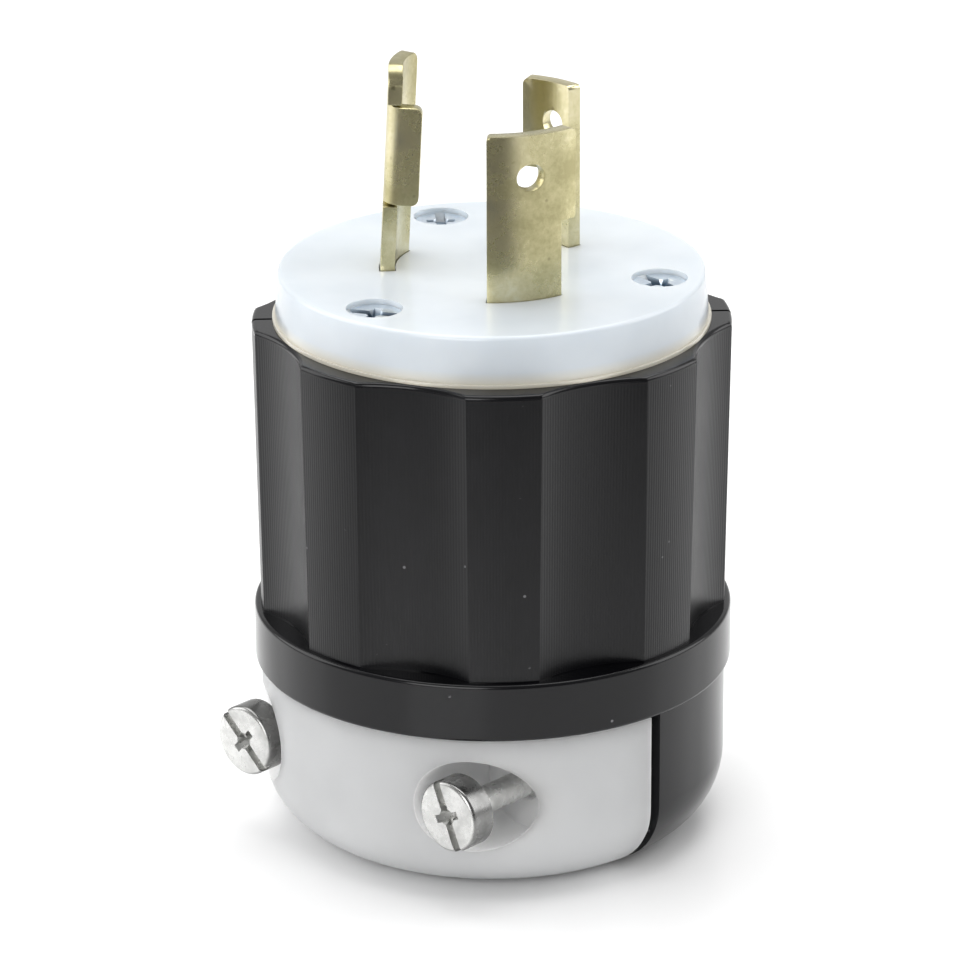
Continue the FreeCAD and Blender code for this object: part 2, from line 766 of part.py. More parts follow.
def build_terminal_screw(name, azimuth):
    """Pan-headed screw, drawn with the underside of its head at z = 0."""
    label = name + "_terminal_screw"
    body = new_body(label)
    head = size("terminal_head_radius")
    high = size("terminal_head_height")
    soft = size("terminal_head_round")
    bevel = size("screw_tip_bevel")
    sketch = new_sketch(body, "XZ_Plane", label + "_outline")
    outline(sketch, [
        (0, -size("terminal_screw_length")),
        (size("terminal_screw_radius") - bevel, -size("terminal_screw_length")),
        (size("terminal_screw_radius"), -size("terminal_screw_length") + bevel),
        (size("terminal_screw_radius"), 0),
        (head, 0),
        (head, high - soft, soft, (head - soft, high - soft)),
        (head - soft, high),
        (0, high),
    ])
    turn(body, sketch, label + "_turned")
    slotted_head(body, high, head + overrun, size("terminal_slot_depth"), label)
    place(body, terminal_head_seat * sine(azimuth), -(terminal_head_seat * cosine(azimuth)), terminal_height,
          outwards(azimuth, size("terminal_slot_turn")))
    return body


def build_wire_plate(name, azimuth):
    """Square pressure plate under a terminal screw's head, with its wire side at z = 0."""
    label = name + "_wire_plate"
    body = new_body(label)
    half_width = size("wire_plate_width") / 2
    half_height = (chamber_top - chamber_foot) / 2 - size("wire_plate_end_gap")
    sketch = new_sketch(body, "XY_Plane", label + "_outline")
    rectangle(sketch, -half_width, half_width, -half_height, half_height)
    circle(sketch, 0, 0, size("terminal_screw_radius") + size("screw_gap"))
    pad(body, sketch, size("wire_plate_thickness"), label + "_padded")
    doc.recompute()
    upright = edges_where(body, lambda r, z, p: abs(p.x) > 1 and near(abs(p.x), half_width)
                          and near(abs(p.y), half_height))
    soften(body, "Fillet", upright, size("wire_plate_round"), label + "_rounded")
    sketch = new_sketch(body, "XY_Plane", label + "_groove_outline")
    wide = size("wire_groove_width") / 2
    for side in (-1, 1):
        middle = (half_height - size("wire_groove_set_in") - wide) * side
        rectangle(sketch, -half_width - overrun, half_width + overrun, middle - wide, middle + wide)
    cut(body, sketch, label + "_grooves", size("wire_groove_depth"), back=True)
    place(body, wire_plate_seat * sine(azimuth), -(wire_plate_seat * cosine(azimuth)), terminal_height,
          outwards(azimuth))
    return body


def build_assembly_screw(number, azimuth):
    """Flat-headed screw from the front face down into a pillar, drawn with its head's top at z = 0."""
    label = "assembly_screw_%d" % number
    body = new_body(label)
    top = face_top - size("assembly_sink")
    length = top - block_foot + size("assembly_grip")
    shank = size("assembly_screw_radius")
    bevel = size("screw_tip_bevel")
    sketch = new_sketch(body, "XZ_Plane", label + "_outline")
    outline(sketch, [
        (0, -length),
        (shank - bevel, -length),
        (shank, -length + bevel),
        (shank, -size("assembly_head_height")),
        (size("assembly_head_radius"), -size("assembly_head_edge")),
        (size("assembly_head_radius"), 0),
        (0, 0),
    ])
    turn(body, sketch, label + "_turned")
    slotted_head(body, as_size(0), size("assembly_head_radius") + overrun, size("assembly_slot_depth"), label)
    spin = azimuth + size("assembly_slot_turn").number * number
    place(body, assembly_circle * sine(azimuth), -(assembly_circle * cosine(azimuth)), top,
          FreeCAD.Rotation(V(0, 0, 1), spin))
    return body


def build_cord_clamp():
    """Loose half of the cord clamp: a half disc with a grooved arch, screw pockets and cored middle."""
    body = new_body("cord_clamp")
    top = flange_foot - size("clamp_top_gap")
    sketch = new_sketch(body, "XZ_Plane", "clamp_outline")
    outline(sketch, base_side(top) + [(0, top), (0, 0)])
    turn(body, sketch, "clamp_turned")
    sketch = new_sketch(body, "XY_Plane", "clamp_split_outline")
    reach = base_radius + overrun
    rectangle(sketch, -reach, reach, -jaw_face, reach)
    cut(body, sketch, "clamp_split", top + overrun, back=True)

    # The arch is round about the plug's axis, like the fixed half's
    sketch = new_sketch(body, "XY_Plane", "clamp_arch_outline")
    circle(sketch, 0, 0, arch_radius)
    cut(body, sketch, "clamp_arch", back=True)
    for k in (1, 2, 3):
        sketch = new_sketch(body, "XY_Plane", "clamp_groove_outline_%d" % k, groove_foot(k))
        circle(sketch, 0, 0, arch_radius + size("arch_groove_depth"))
        cut(body, sketch, "clamp_groove_%d" % k, size("arch_groove_width"), back=True)
    ends = edges_where(body, lambda r, z, p: near(z, top) and near(p.y, -jaw_face))
    soften(body, "Fillet", ends, size("clamp_end_round"), "clamp_ends_rounded")

    sketch = new_sketch(body, "XZ_Plane", "clamp_way_outline")
    for side in (-1, 1):
        way = size("clamp_screw_radius") + size("clamp_hole_gap")
        circle(sketch, screw_side * side, size("clamp_screw_height"), way)
    cut(body, sketch, "clamp_ways", back=True)
    sketch = new_sketch(body, "XZ_Plane", "clamp_pocket_outline", size("clamp_pocket_floor"))
    for side in (-1, 1):
        circle(sketch, screw_side * side, size("clamp_screw_height"), size("clamp_pocket_radius"))
    cut(body, sketch, "clamp_pockets", back=True)

    # Two cores from the top keep the moulding's walls even
    sketch = new_sketch(body, "XY_Plane", "clamp_core_outline", top)
    wall = size("clamp_core_wall")
    inside = arch_radius + size("arch_groove_depth") + wall
    web = size("clamp_core_web") / 2
    far = screw_side - size("clamp_pocket_radius") - wall
    end = base_radius - wall - size("clamp_core_set_in")
    for side in (-1, 1):
        low, high = (web, far) if side == 1 else (-far, -web)
        rectangle(sketch, low, high, -end, -inside)
    cut(body, sketch, "clamp_cores", top - size("clamp_core_floor"))
    return body


def build_clamp_screw(side, spin):
    """Captive cheese-headed screw: head, thin neck and thread, drawn with its head's top at z = 0."""
    label = "clamp_screw_" + ("right" if side > 0 else "left")
    body = new_body(label)
    head = size("clamp_head_radius")
    high = size("clamp_head_height")
    soft = size("clamp_head_round")
    thread = size("clamp_screw_radius")
    neck = size("clamp_neck_radius")
    bevel = size("screw_tip_bevel")
    neck_end = -(high + size("clamp_neck_length"))
    tip = neck_end - size("clamp_thread_length")
    sketch = new_sketch(body, "XZ_Plane", label + "_outline")
    outline(sketch, [
        (0, tip),
        (thread - bevel, tip),
        (thread, tip + bevel),
        (thread, neck_end - (thread - neck)),
        (neck, neck_end),
        (neck, -high),
        (head, -high),
        (head, -soft, soft, (head - soft, -soft)),
        (head - soft, 0),
        (0, 0),
    ])
    turn(body, sketch, label + "_turned")
    slotted_head(body, as_size(0), head + overrun, size("slot_depth"), label)
    top = size("clamp_pocket_floor") + size("clamp_neck_length") + high
    place(body, screw_side * side, -top, size("clamp_screw_height"), outwards(0, spin))
    return body


def build_clamp_nut(side):
    """Square nut, seated on the floor of its pocket in the fixed half."""
    label = "clamp_nut_" + ("right" if side > 0 else "left")
    body = new_body(label)
    half = size("nut_width") / 2
    sketch = new_sketch(body, "XZ_Plane", label + "_outline")
    rectangle(sketch, -half, half, -half, half)
    circle(sketch, 0, 0, size("clamp_screw_radius") + size("thread_gap"))
    pad(body, sketch, size("nut_height"), label + "_padded", back=True)
    doc.recompute()
    upright = edges_where(body, lambda r, z, p: near(abs(p.x), half) and near(abs(z), half))
    soften(body, "Chamfer", upright, size("nut_bevel"), label + "_bevelled")
    place(body, screw_side * side, size("nut_seat"), size("clamp_screw_height"))
    return body


parts = [build_housing(), build_front_face(), build_terminal_block()]
flat = as_size(0)
parts.append(build_blade("neutral", NEUTRAL_AZIMUTH, size("neutral_foot_half_angle"),
                         size("neutral_hook_angle"), size("pole_height"), flat))
parts.append(build_blade("line", LINE_AZIMUTH, size("line_foot_half_angle"),
                         size("line_hook_angle"), size("pole_height"), flat))
parts.append(build_blade("ground", GROUND_AZIMUTH, size("ground_foot_half_angle"),
                         size("ground_hook_angle"), size("ground_height"), size("ground_lean")))
for name, azimuth in (("neutral", NEUTRAL_AZIMUTH), ("line", LINE_AZIMUTH), ("ground", GROUND_AZIMUTH)):
    parts.append(build_terminal_screw(name, azimuth))
    parts.append(build_wire_plate(name, azimuth))
for number in range(COUNT_OF_BLADES):
    parts.append(build_assembly_screw(number + 1, 360 / COUNT_OF_BLADES * number))
parts.append(build_cord_clamp())
for side, spin in ((-1, size("left_slot_turn")), (1, size("right_slot_turn"))):
    parts.append(build_clamp_screw(side, spin))
    parts.append(build_clamp_nut(side))

doc.recompute()
for thing in doc.Objects:
    if "Invalid" in thing.State or "Error" in thing.State:
        raise RuntimeError("%s did not build" % thing.Name)
for body in parts:
    if body.Shape.isNull() or not body.Shape.isValid() or len(body.Shape.Solids) != 1:
        raise RuntimeError("%s is not one sound solid" % body.Label)

os.makedirs("parts", exist_ok=True)
for body in parts:
    body.Shape.exportStep(os.path.join("parts", body.Label + ".step"))
    box = body.Shape.BoundBox
    print("%-24s %9.1f mm3  x %7.2f %7.2f  y %7.2f %7.2f  z %7.2f %7.2f" % (
        body.Label, body.Shape.Volume, box.XMin, box.XMax, box.YMin, box.YMax, box.ZMin, box.ZMax))
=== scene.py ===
"""Locking power plug in its looks: black nylon grip, white front, rolled brass blades, pale cord clamp.

Sizes are written in millimetres and drawn in metres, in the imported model's frame. +Z is the plug's axis,
towards the blades, the loose cord clamp faces -Y, and an azimuth is counted from -Y towards +X.
"""
import math

import bmesh
import bpy
from mathutils import Matrix, Vector


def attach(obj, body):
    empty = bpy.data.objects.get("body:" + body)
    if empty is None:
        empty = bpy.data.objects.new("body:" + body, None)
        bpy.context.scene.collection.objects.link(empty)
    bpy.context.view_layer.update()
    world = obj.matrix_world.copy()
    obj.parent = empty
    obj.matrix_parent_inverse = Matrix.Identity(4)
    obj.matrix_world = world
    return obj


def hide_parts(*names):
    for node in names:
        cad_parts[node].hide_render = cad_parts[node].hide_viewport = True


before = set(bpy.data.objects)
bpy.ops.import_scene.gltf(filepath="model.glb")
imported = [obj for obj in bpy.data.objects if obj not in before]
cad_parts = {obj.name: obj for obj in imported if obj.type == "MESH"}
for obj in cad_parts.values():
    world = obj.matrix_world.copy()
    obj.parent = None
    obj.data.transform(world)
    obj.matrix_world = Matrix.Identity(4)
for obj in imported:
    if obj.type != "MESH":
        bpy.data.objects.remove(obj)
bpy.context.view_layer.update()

# Housing. One injection moulding in black glass-filled nylon: the flange ring, the eight-scallop grip
# with the wiring room inside it, and the fixed half of the cord clamp below. Its grip is finely reeded.
MM = 0.001
FLANGE_FOOT = 20.9
GRIP_FOOT = 28.0
RIM = 63.3
ROOM_FLOOR = 24.4
PILLAR_TOP = 40.0
BASE_RADIUS = 27.8
BASE_ROUND = 9.0
FLANGE_RADIUS = 28.5
LAND_RADII = (27.73, 28.24)
SCALLOP_DEPTHS = (2.13, 2.09)
SCALLOP_HOLLOWS = (18.35, 17.8)
SCALLOPS = 8
COLUMNS_IN_SCALLOP = 26
COLUMNS_IN_LAND = 12
MOUTH_RADIUS = 23.4
ROOM_RADIUS = 23.2
CORD_WAY_RADIUS = 13.5
ARCH_RADIUS = 12.0
GROOVE_FEET = (3.1, 9.3, 15.5)
GROOVE_WIDTH = 2.0
GROOVE_DEPTH = 0.8
FIXED_HALF_END = 1.5
SCREW_SIDE = 16.5
SCREW_HEIGHT = 12.4
CLAMP_SCREW_PASS = 2.25
NUT_SEAT = 8.5
NUT_POCKET_HALF = 4.15
EDGE_ROUND = 0.5
NOTCH_AZIMUTHS = (135, 315)
NOTCH_HALF = 0.25
NOTCH_LENGTH = 2.4
NOTCH_DEPTH = 0.5
ASSEMBLY_AZIMUTHS = (0, 120, 240)
ASSEMBLY_CIRCLE = 20.0
PILLAR_RADIUS = 4.0
PILOT_RADIUS = 1.81


def at_azimuth(radius, azimuth):
    """The place at a radius and an azimuth in degrees."""
    lead = math.radians(azimuth)
    return radius * math.sin(lead), -radius * math.cos(lead)


def arc(middle_x, middle_y, radius, start, end, steps):
    """Points along an arc in degrees, both ends included."""
    points = []
    for k in range(steps + 1):
        turn = math.radians(start + (end - start) * k / steps)
        points.append((middle_x + radius * math.cos(turn), middle_y + radius * math.sin(turn)))
    return points


def edit(piece):
    """Opens one piece in edit mode with nothing selected."""
    bpy.ops.object.select_all(action="DESELECT")
    bpy.context.view_layer.objects.active = piece
    piece.select_set(True)
    bpy.ops.object.mode_set(mode="EDIT")
    bpy.ops.mesh.select_mode(type="VERT")
    bpy.ops.mesh.select_all(action="DESELECT")


def select(piece, kind, wanted):
    """Selects the edges or vertices of the open piece that meet a condition on themselves."""
    bpy.ops.mesh.select_mode(type={"verts": "VERT", "edges": "EDGE"}[kind])
    bpy.ops.mesh.select_all(action="DESELECT")
    mesh = bmesh.from_edit_mesh(piece.data)
    for part in getattr(mesh, kind):
        if wanted(part):
            part.select_set(True)
    mesh.select_flush_mode()
    bmesh.update_edit_mesh(piece.data)


def close_edit():
    """Leaves edit mode."""
    bpy.ops.object.mode_set(mode="OBJECT")


def tidy_mesh(piece):
    """Merges doubles, drops lines with no face, and turns all faces outwards."""
    edit(piece)
    bpy.ops.mesh.select_all(action="SELECT")
    bpy.ops.mesh.remove_doubles(threshold=1e-6)
    bpy.ops.mesh.delete_loose()
    bpy.ops.mesh.select_all(action="SELECT")
    bpy.ops.mesh.normals_make_consistent(inside=False)
    if bmesh.from_edit_mesh(piece.data).calc_volume(signed=True) < 0:
        bpy.ops.mesh.flip_normals()
    close_edit()


def drawn_line(name, points, closed=True):
    """Extrudes one vertex from point to point in millimetres, and leaves the piece open in edit mode."""
    bpy.ops.object.select_all(action="DESELECT")
    bpy.ops.mesh.primitive_plane_add(size=MM, location=(0, 0, 0))
    piece = bpy.context.object
    piece.name = name
    piece.data.name = name
    bpy.ops.object.mode_set(mode="EDIT")
    bpy.ops.mesh.select_mode(type="VERT")
    bpy.ops.mesh.select_all(action="SELECT")
    bpy.ops.mesh.merge(type="CENTER")
    here = Vector((0, 0, 0))
    for k, point in enumerate(list(points) + list(points[:1]) * closed):
        step = Vector(point) * MM - here
        if k == 0:
            bpy.ops.transform.translate(value=step)
        else:
            bpy.ops.mesh.extrude_vertices_move(TRANSFORM_OT_translate={"value": step})
        here += step
    bpy.ops.mesh.select_all(action="SELECT")
    bpy.ops.mesh.remove_doubles(threshold=1e-7)
    return piece


def turned(name, outline, steps, start=0.0, sweep=360.0):
    """A body of revolution about the plug's axis, from (radius, height) corners in millimetres."""
    piece = drawn_line(name, [(*at_azimuth(radius, start), z) for radius, z in outline])
    if sweep < 360.0:
        bpy.ops.mesh.edge_face_add()
    bpy.ops.mesh.spin(steps=steps, angle=-math.radians(sweep), center=(0, 0, 0), axis=(0, 0, 1))
    close_edit()
    tidy_mesh(piece)
    return piece


def cut_off(piece, y, past):
    """Cuts a piece off square at a place along Y, and closes it. past is the side that goes: 1 or -1."""
    edit(piece)
    bpy.ops.mesh.select_all(action="SELECT")
    bpy.ops.mesh.bisect(plane_co=(0, y * MM, 0), plane_no=(0, -past, 0), use_fill=True, clear_inner=True)
    close_edit()
    tidy_mesh(piece)


def carve(piece, cutter):
    """Takes the shape of a cutter out of a piece."""
    modifier = piece.modifiers.new("carved", "BOOLEAN")
    modifier.operation = "DIFFERENCE"
    modifier.solver = "MANIFOLD"
    modifier.object = cutter
    bpy.context.view_layer.objects.active = piece
    bpy.ops.object.modifier_apply(modifier=modifier.name)
    bpy.data.objects.remove(cutter, do_unlink=True)


def rod(radius, length, middle, axis="Z", sides=64, top_radius=None):
    """A round cutter along Y or Z, in millimetres, which widens or narrows to top_radius."""
    turn = {"Y": (math.pi / 2, 0, 0), "Z": (0, 0, 0)}[axis]
    far = radius if top_radius is None else top_radius
    bpy.ops.mesh.primitive_cone_add(vertices=sides, radius1=radius * MM, radius2=far * MM, depth=length * MM,
                                    location=[c * MM for c in middle], rotation=turn)
    return bpy.context.object


def block(low, high):
    """A square cutter between two corners, in millimetres."""
    bpy.ops.mesh.primitive_cube_add(size=MM, location=[(a + b) / 2 * MM for a, b in zip(low, high)],
                                    scale=[b - a for a, b in zip(low, high)])
    return bpy.context.object


def joined(name, *pieces):
    """Several loose shells as one piece, standing at the origin."""
    bpy.ops.object.select_all(action="DESELECT")
    for piece in pieces:
        piece.select_set(True)
    bpy.context.view_layer.objects.active = pieces[0]
    bpy.ops.object.join()
    piece = bpy.context.object
    bpy.ops.object.transform_apply(location=True, rotation=True, scale=True)
    piece.name = name
    piece.data.name = name
    return piece


def smooth(piece, degrees):
    """Smooth shading up to an angle between faces. Large flat faces stay flat beside small roundings."""
    bpy.ops.object.select_all(action="DESELECT")
    piece.select_set(True)
    bpy.context.view_layer.objects.active = piece
    bpy.ops.object.shade_smooth_by_angle(angle=math.radians(degrees))
    weighted = piece.modifiers.new("flat_kept_flat", "WEIGHTED_NORMAL")
    weighted.keep_sharp = True
    bpy.ops.object.modifier_apply(modifier=weighted.name)


def dress(piece, body, node, material):
    """Gives a finished piece its material and its body, and hides the CAD node that it stands for."""
    piece.data.materials.clear()
    piece.data.materials.append(material)
    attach(piece, body)
    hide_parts(node)


def linear(code):
    """An sRGB hex colour as the linear colour of a shader socket."""
    shares = [int(code[k:k + 2], 16) / 255 for k in (1, 3, 5)]
    return [s / 12.92 if s <= 0.04045 else ((s + 0.055) / 1.055) ** 2.4 for s in shares] + [1.0]


def add(tree, kind, values, links=(), **settings):
    """Adds a node to a tree, with its socket values, its links (socket, source) and its own settings."""
    node = tree.nodes.new("ShaderNode" + kind)
    for name, value in settings.items():
        setattr(node, name, value)
    for socket, value in values.items():
        node.inputs[socket].default_value = value
    for socket, source in links:
        tree.links.new(source, node.inputs[socket])
    return node


def ramp(tree, source, stops):
    """Adds a colour ramp over a source, from (place, hex colour) stops."""
    node = add(tree, "ValToRGB", {}, [("Fac", source)])
    while len(node.color_ramp.elements) < len(stops):
        node.color_ramp.elements.new(0.5)
    for element, (place, code) in zip(node.color_ramp.elements, stops):
        element.position = place
        element.color = linear(code)
    return node


def new_material(name):
    """A material with its principled shader and the object coordinates, ready for more nodes."""
    material = bpy.data.materials.new(name)
    material.use_nodes = True
    tree = material.node_tree
    coordinates = add(tree, "TexCoord", {})
    return material, tree, tree.nodes["Principled BSDF"], coordinates.outputs["Object"]


def base_side(top):
    """The rounded outer side of the cord end."""
    return arc(BASE_RADIUS - BASE_ROUND, BASE_ROUND, BASE_ROUND, -90, 0, 14) + [(BASE_RADIUS, top)]


def arch_side(top):
    """The cord arch's grooved wall, from the top down."""
    deep = ARCH_RADIUS + GROOVE_DEPTH
    corners = [(ARCH_RADIUS, top)]
    for foot in reversed(GROOVE_FEET):
        head = foot + GROOVE_WIDTH
        corners += [(ARCH_RADIUS, head), (deep, head), (deep, foot), (ARCH_RADIUS, foot)]
    return corners + [(ARCH_RADIUS, 0)]


# The upper part is turned with its columns of faces in step with the scallops, which are then pressed in
LEVELS = 8
land_foot, land_rim = LAND_RADII
flange_edge = FLANGE_RADIUS - EDGE_ROUND
grip_outline = [(CORD_WAY_RADIUS, FLANGE_FOOT)]
grip_outline += arc(flange_edge, FLANGE_FOOT + EDGE_ROUND, EDGE_ROUND, -90, 0, 5)
grip_outline += arc(flange_edge, GRIP_FOOT - EDGE_ROUND, EDGE_ROUND, 0, 90, 5)
grip_outline += [(land_foot, GRIP_FOOT)]
grip_outline += [(land_foot + (land_rim - land_foot) * k / LEVELS,
                  GRIP_FOOT + (RIM - EDGE_ROUND - GRIP_FOOT) * k / LEVELS) for k in range(1, LEVELS)]
grip_outline += arc(land_rim - EDGE_ROUND, RIM - EDGE_ROUND, EDGE_ROUND, 0, 90, 5)
grip_outline += [(MOUTH_RADIUS, RIM), (ROOM_RADIUS, ROOM_FLOOR), (CORD_WAY_RADIUS, ROOM_FLOOR)]
columns = SCALLOPS * (COLUMNS_IN_SCALLOP + COLUMNS_IN_LAND)
grip = turned("housing_grip", grip_outline, columns)
for vertex in grip.data.vertices:
    x, y, z = [c / MM for c in vertex.co]
    radius = math.hypot(x, y)
    on_flange = z < GRIP_FOOT - 0.01 or (z < GRIP_FOOT + 0.01 and radius > flange_edge - 0.1)
    if on_flange or radius < land_foot - 0.05:
        continue
    share = (z - GRIP_FOOT) / (RIM - GRIP_FOOT)
    land, depth, hollow = [a + (b - a) * share for a, b in (LAND_RADII, SCALLOP_DEPTHS, SCALLOP_HOLLOWS)]
    far = land - depth + hollow
    half = math.acos((land * land + far * far - hollow * hollow) / (2 * land * far))
    column = math.degrees(math.atan2(x, -y)) / 360 * columns % columns
    sector, within = divmod(round(column) + COLUMNS_IN_LAND // 2, COLUMNS_IN_SCALLOP + COLUMNS_IN_LAND)
    pitch = math.tau / SCALLOPS
    if within < COLUMNS_IN_LAND:
        azimuth = sector * pitch + (within / COLUMNS_IN_LAND - 0.5) * (pitch - 2 * half)
        wall = land
    else:
        off = (2 * (within - COLUMNS_IN_LAND) / COLUMNS_IN_SCALLOP - 1) * half
        azimuth = (sector + 0.5) * pitch + off
        wall = far * math.cos(off) - math.sqrt(hollow ** 2 - (far * math.sin(off)) ** 2)
    out = (radius - land + wall) * MM
    vertex.co = (out * math.sin(azimuth), -out * math.cos(azimuth), z * MM)

# The fixed half of the cord clamp is turned whole, cut off at its end face, and drilled. It runs a little
# way up into the flange, so that no seam shows between them.
fixed_half = turned("fixed_half", base_side(FLANGE_FOOT + 0.3) + arch_side(FLANGE_FOOT), 160)
cut_off(fixed_half, -FIXED_HALF_END, past=-1)
for side in (-1, 1):
    across = side * SCREW_SIDE
    carve(fixed_half, rod(CLAMP_SCREW_PASS, 60, (across, 0, SCREW_HEIGHT), "Y", 48))
    carve(fixed_half, block((across - NUT_POCKET_HALF, NUT_SEAT, SCREW_HEIGHT - NUT_POCKET_HALF),
                            (across + NUT_POCKET_HALF, NUT_SEAT + 30, SCREW_HEIGHT + NUT_POCKET_HALF)))

# Two small notches are moulded into the rim, one opposite the other, and three pillars stand in the room
for azimuth in NOTCH_AZIMUTHS:
    notch = block((-NOTCH_HALF, -land_rim - 1, RIM - NOTCH_DEPTH),
                  (NOTCH_HALF, -land_rim + NOTCH_LENGTH, RIM + 1))
    notch.matrix_world = Matrix.Rotation(math.radians(azimuth), 4, "Z") @ notch.matrix_world
    carve(grip, notch)
pillars = []
for azimuth in ASSEMBLY_AZIMUTHS:
    place = at_azimuth(ASSEMBLY_CIRCLE, azimuth)
    middle = (*place, (PILLAR_TOP + ROOM_FLOOR) / 2 - 0.1)
    pillar = rod(PILLAR_RADIUS, PILLAR_TOP - ROOM_FLOOR + 0.2, middle, sides=48)
    carve(pillar, rod(PILOT_RADIUS, 22, (*place, PILLAR_TOP), sides=32))
    pillars.append(pillar)
housing = joined("black_housing", grip, fixed_half, *pillars)
smooth(housing, 20)

# Glass-filled nylon, black, injection moulded: a satin skin with a haze in patches of about 6 mm, upright
# reeding on the grip, 0.36 mm from line to line, and a little pale dust. Its real grain of about 0.1 mm is
# too fine to show, so it is drawn at 0.4 mm.
REEDS = 484
black_nylon, tree, skin, here = new_material("black_moulded_nylon")
parted = add(tree, "SeparateXYZ", {}, [("Vector", here)])
azimuth = add(tree, "Math", {}, [(0, parted.outputs["X"]), (1, parted.outputs["Y"])], operation="ARCTAN2")
wave = add(tree, "Math", {1: float(REEDS)}, [(0, azimuth.outputs[0])], operation="MULTIPLY")
reeds = add(tree, "Math", {}, [(0, wave.outputs[0])], operation="SINE")
above = add(tree, "Math", {1: (GRIP_FOOT + 0.15) * MM}, [(0, parted.outputs["Z"])], operation="GREATER_THAN")
below = add(tree, "Math", {1: (RIM - 0.6) * MM}, [(0, parted.outputs["Z"])], operation="LESS_THAN")
on_grip = add(tree, "Math", {}, [(0, above.outputs[0]), (1, below.outputs[0])], operation="MULTIPLY")
reeding = add(tree, "Math", {}, [(0, reeds.outputs[0]), (1, on_grip.outputs[0])], operation="MULTIPLY")
haze = add(tree, "TexNoise", {"Scale": 160.0, "Detail": 5.0, "Roughness": 0.6}, [("Vector", here)])
grain = add(tree, "TexNoise", {"Scale": 2600.0, "Detail": 2.0}, [("Vector", here)])
dust = add(tree, "TexVoronoi", {"Scale": 420.0, "Randomness": 1.0}, [("Vector", here)], feature="F1")
speck = add(tree, "MapRange", {"From Min": 0.09, "From Max": 0.05}, [("Value", dust.outputs["Distance"])])
patch = add(tree, "TexNoise", {"Scale": 300.0, "Detail": 1.0}, [("Vector", here)])
dusty = add(tree, "MapRange", {"From Min": 0.62, "From Max": 0.66}, [("Value", patch.outputs["Fac"])])
specks = add(tree, "Math", {}, [(0, speck.outputs[0]), (1, dusty.outputs[0])], operation="MULTIPLY")
tone = ramp(tree, haze.outputs["Fac"], [(0.3, "#060608"), (0.7, "#0c0c0f")])
coloured = add(tree, "Mix", {7: linear("#6a6a6c")}, [(0, specks.outputs[0]), (6, tone.outputs["Color"])],
               data_type="RGBA")
matt = add(tree, "Math", {1: 0.16, 2: 0.1}, [(0, on_grip.outputs[0])], operation="MULTIPLY_ADD")
gloss = add(tree, "Math", {1: 0.12}, [(0, haze.outputs["Fac"]), (2, matt.outputs[0])],
            operation="MULTIPLY_ADD")
grained = add(tree, "Bump", {"Strength": 0.25, "Distance": 0.00002}, [("Height", grain.outputs["Fac"])])
reeded = add(tree, "Bump", {"Strength": 0.2, "Distance": 0.00003},
             [("Height", reeding.outputs[0]), ("Normal", grained.outputs["Normal"])])
tree.links.new(coloured.outputs[2], skin.inputs["Base Color"])
tree.links.new(gloss.outputs[0], skin.inputs["Roughness"])
tree.links.new(reeded.outputs["Normal"], skin.inputs["Normal"])
skin.inputs["IOR"].default_value = 1.53
skin.inputs["Specular IOR Level"].default_value = 0.3
dress(housing, "plug_body", "housing", black_nylon)

# Front. A white nylon disc, moulded in a polished tool, that plugs the grip's mouth. It has a close
# slot for each blade, three countersunk screw holes, and a small lip that rests on the rim.
FACE_TOP = 69.3
FACE_BACK = 57.0
FACE_RADIUS = 25.12
FACE_FOOT_RADIUS = 25.5
LIP_RADIUS = 25.8
LIP_HEIGHT = 0.4
SKIRT_RADIUS = 23.25
SKIRT_WALL = 2.0
HOLLOW_RADIUS = 16.0
HOLLOW_TOP = 64.3
BLADE_OUTER = 13.1
BLADE_INNER = 11.4
SLOT_GAP = 0.12
SCREW_SUNK = 0.6
SCREW_PASS = 1.85
SEAT_RADIUS = 3.3
SINK_RADIUS = 3.31
SINK_DEPTH = 1.9
BLADES = {"neutral": (60, 20.25), "line": (180, 10.7), "ground": (300, 19.25)}
skirt_inside = SKIRT_RADIUS - SKIRT_WALL
lip_top = RIM + LIP_HEIGHT
face_outline = [(0, FACE_BACK), (HOLLOW_RADIUS, FACE_BACK), (HOLLOW_RADIUS, HOLLOW_TOP)]
face_outline += [(skirt_inside, HOLLOW_TOP), (skirt_inside, FACE_BACK), (SKIRT_RADIUS, FACE_BACK)]
face_outline += [(SKIRT_RADIUS, RIM), (LIP_RADIUS, RIM), (LIP_RADIUS, lip_top), (FACE_FOOT_RADIUS, lip_top)]
face_outline += arc(FACE_RADIUS - EDGE_ROUND, FACE_TOP - EDGE_ROUND, EDGE_ROUND, 0, 90, 6)
face_outline += [(0, FACE_TOP)]
face = turned("white_front", face_outline, 240)
for azimuth, half in BLADES.values():
    reach = half + math.degrees(SLOT_GAP / BLADE_OUTER)
    slot_outline = [(BLADE_INNER - SLOT_GAP, FACE_BACK - 1), (BLADE_OUTER + SLOT_GAP, FACE_BACK - 1),
                    (BLADE_OUTER + SLOT_GAP, FACE_TOP + 1), (BLADE_INNER - SLOT_GAP, FACE_TOP + 1)]
    carve(face, turned("slot", slot_outline, 24, azimuth - reach, 2 * reach))
for azimuth in ASSEMBLY_AZIMUTHS:
    place = at_azimuth(ASSEMBLY_CIRCLE, azimuth)
    middle = (*place, FACE_TOP - SCREW_SUNK - SINK_DEPTH / 2)
    carve(face, rod(SCREW_PASS, 30, (*place, FACE_TOP - 5), sides=40))
    carve(face, rod(SCREW_PASS, SINK_DEPTH, middle, sides=72, top_radius=SINK_RADIUS))
    carve(face, rod(SEAT_RADIUS, 2 * SCREW_SUNK, (*place, FACE_TOP), sides=72))
smooth(face, 30)

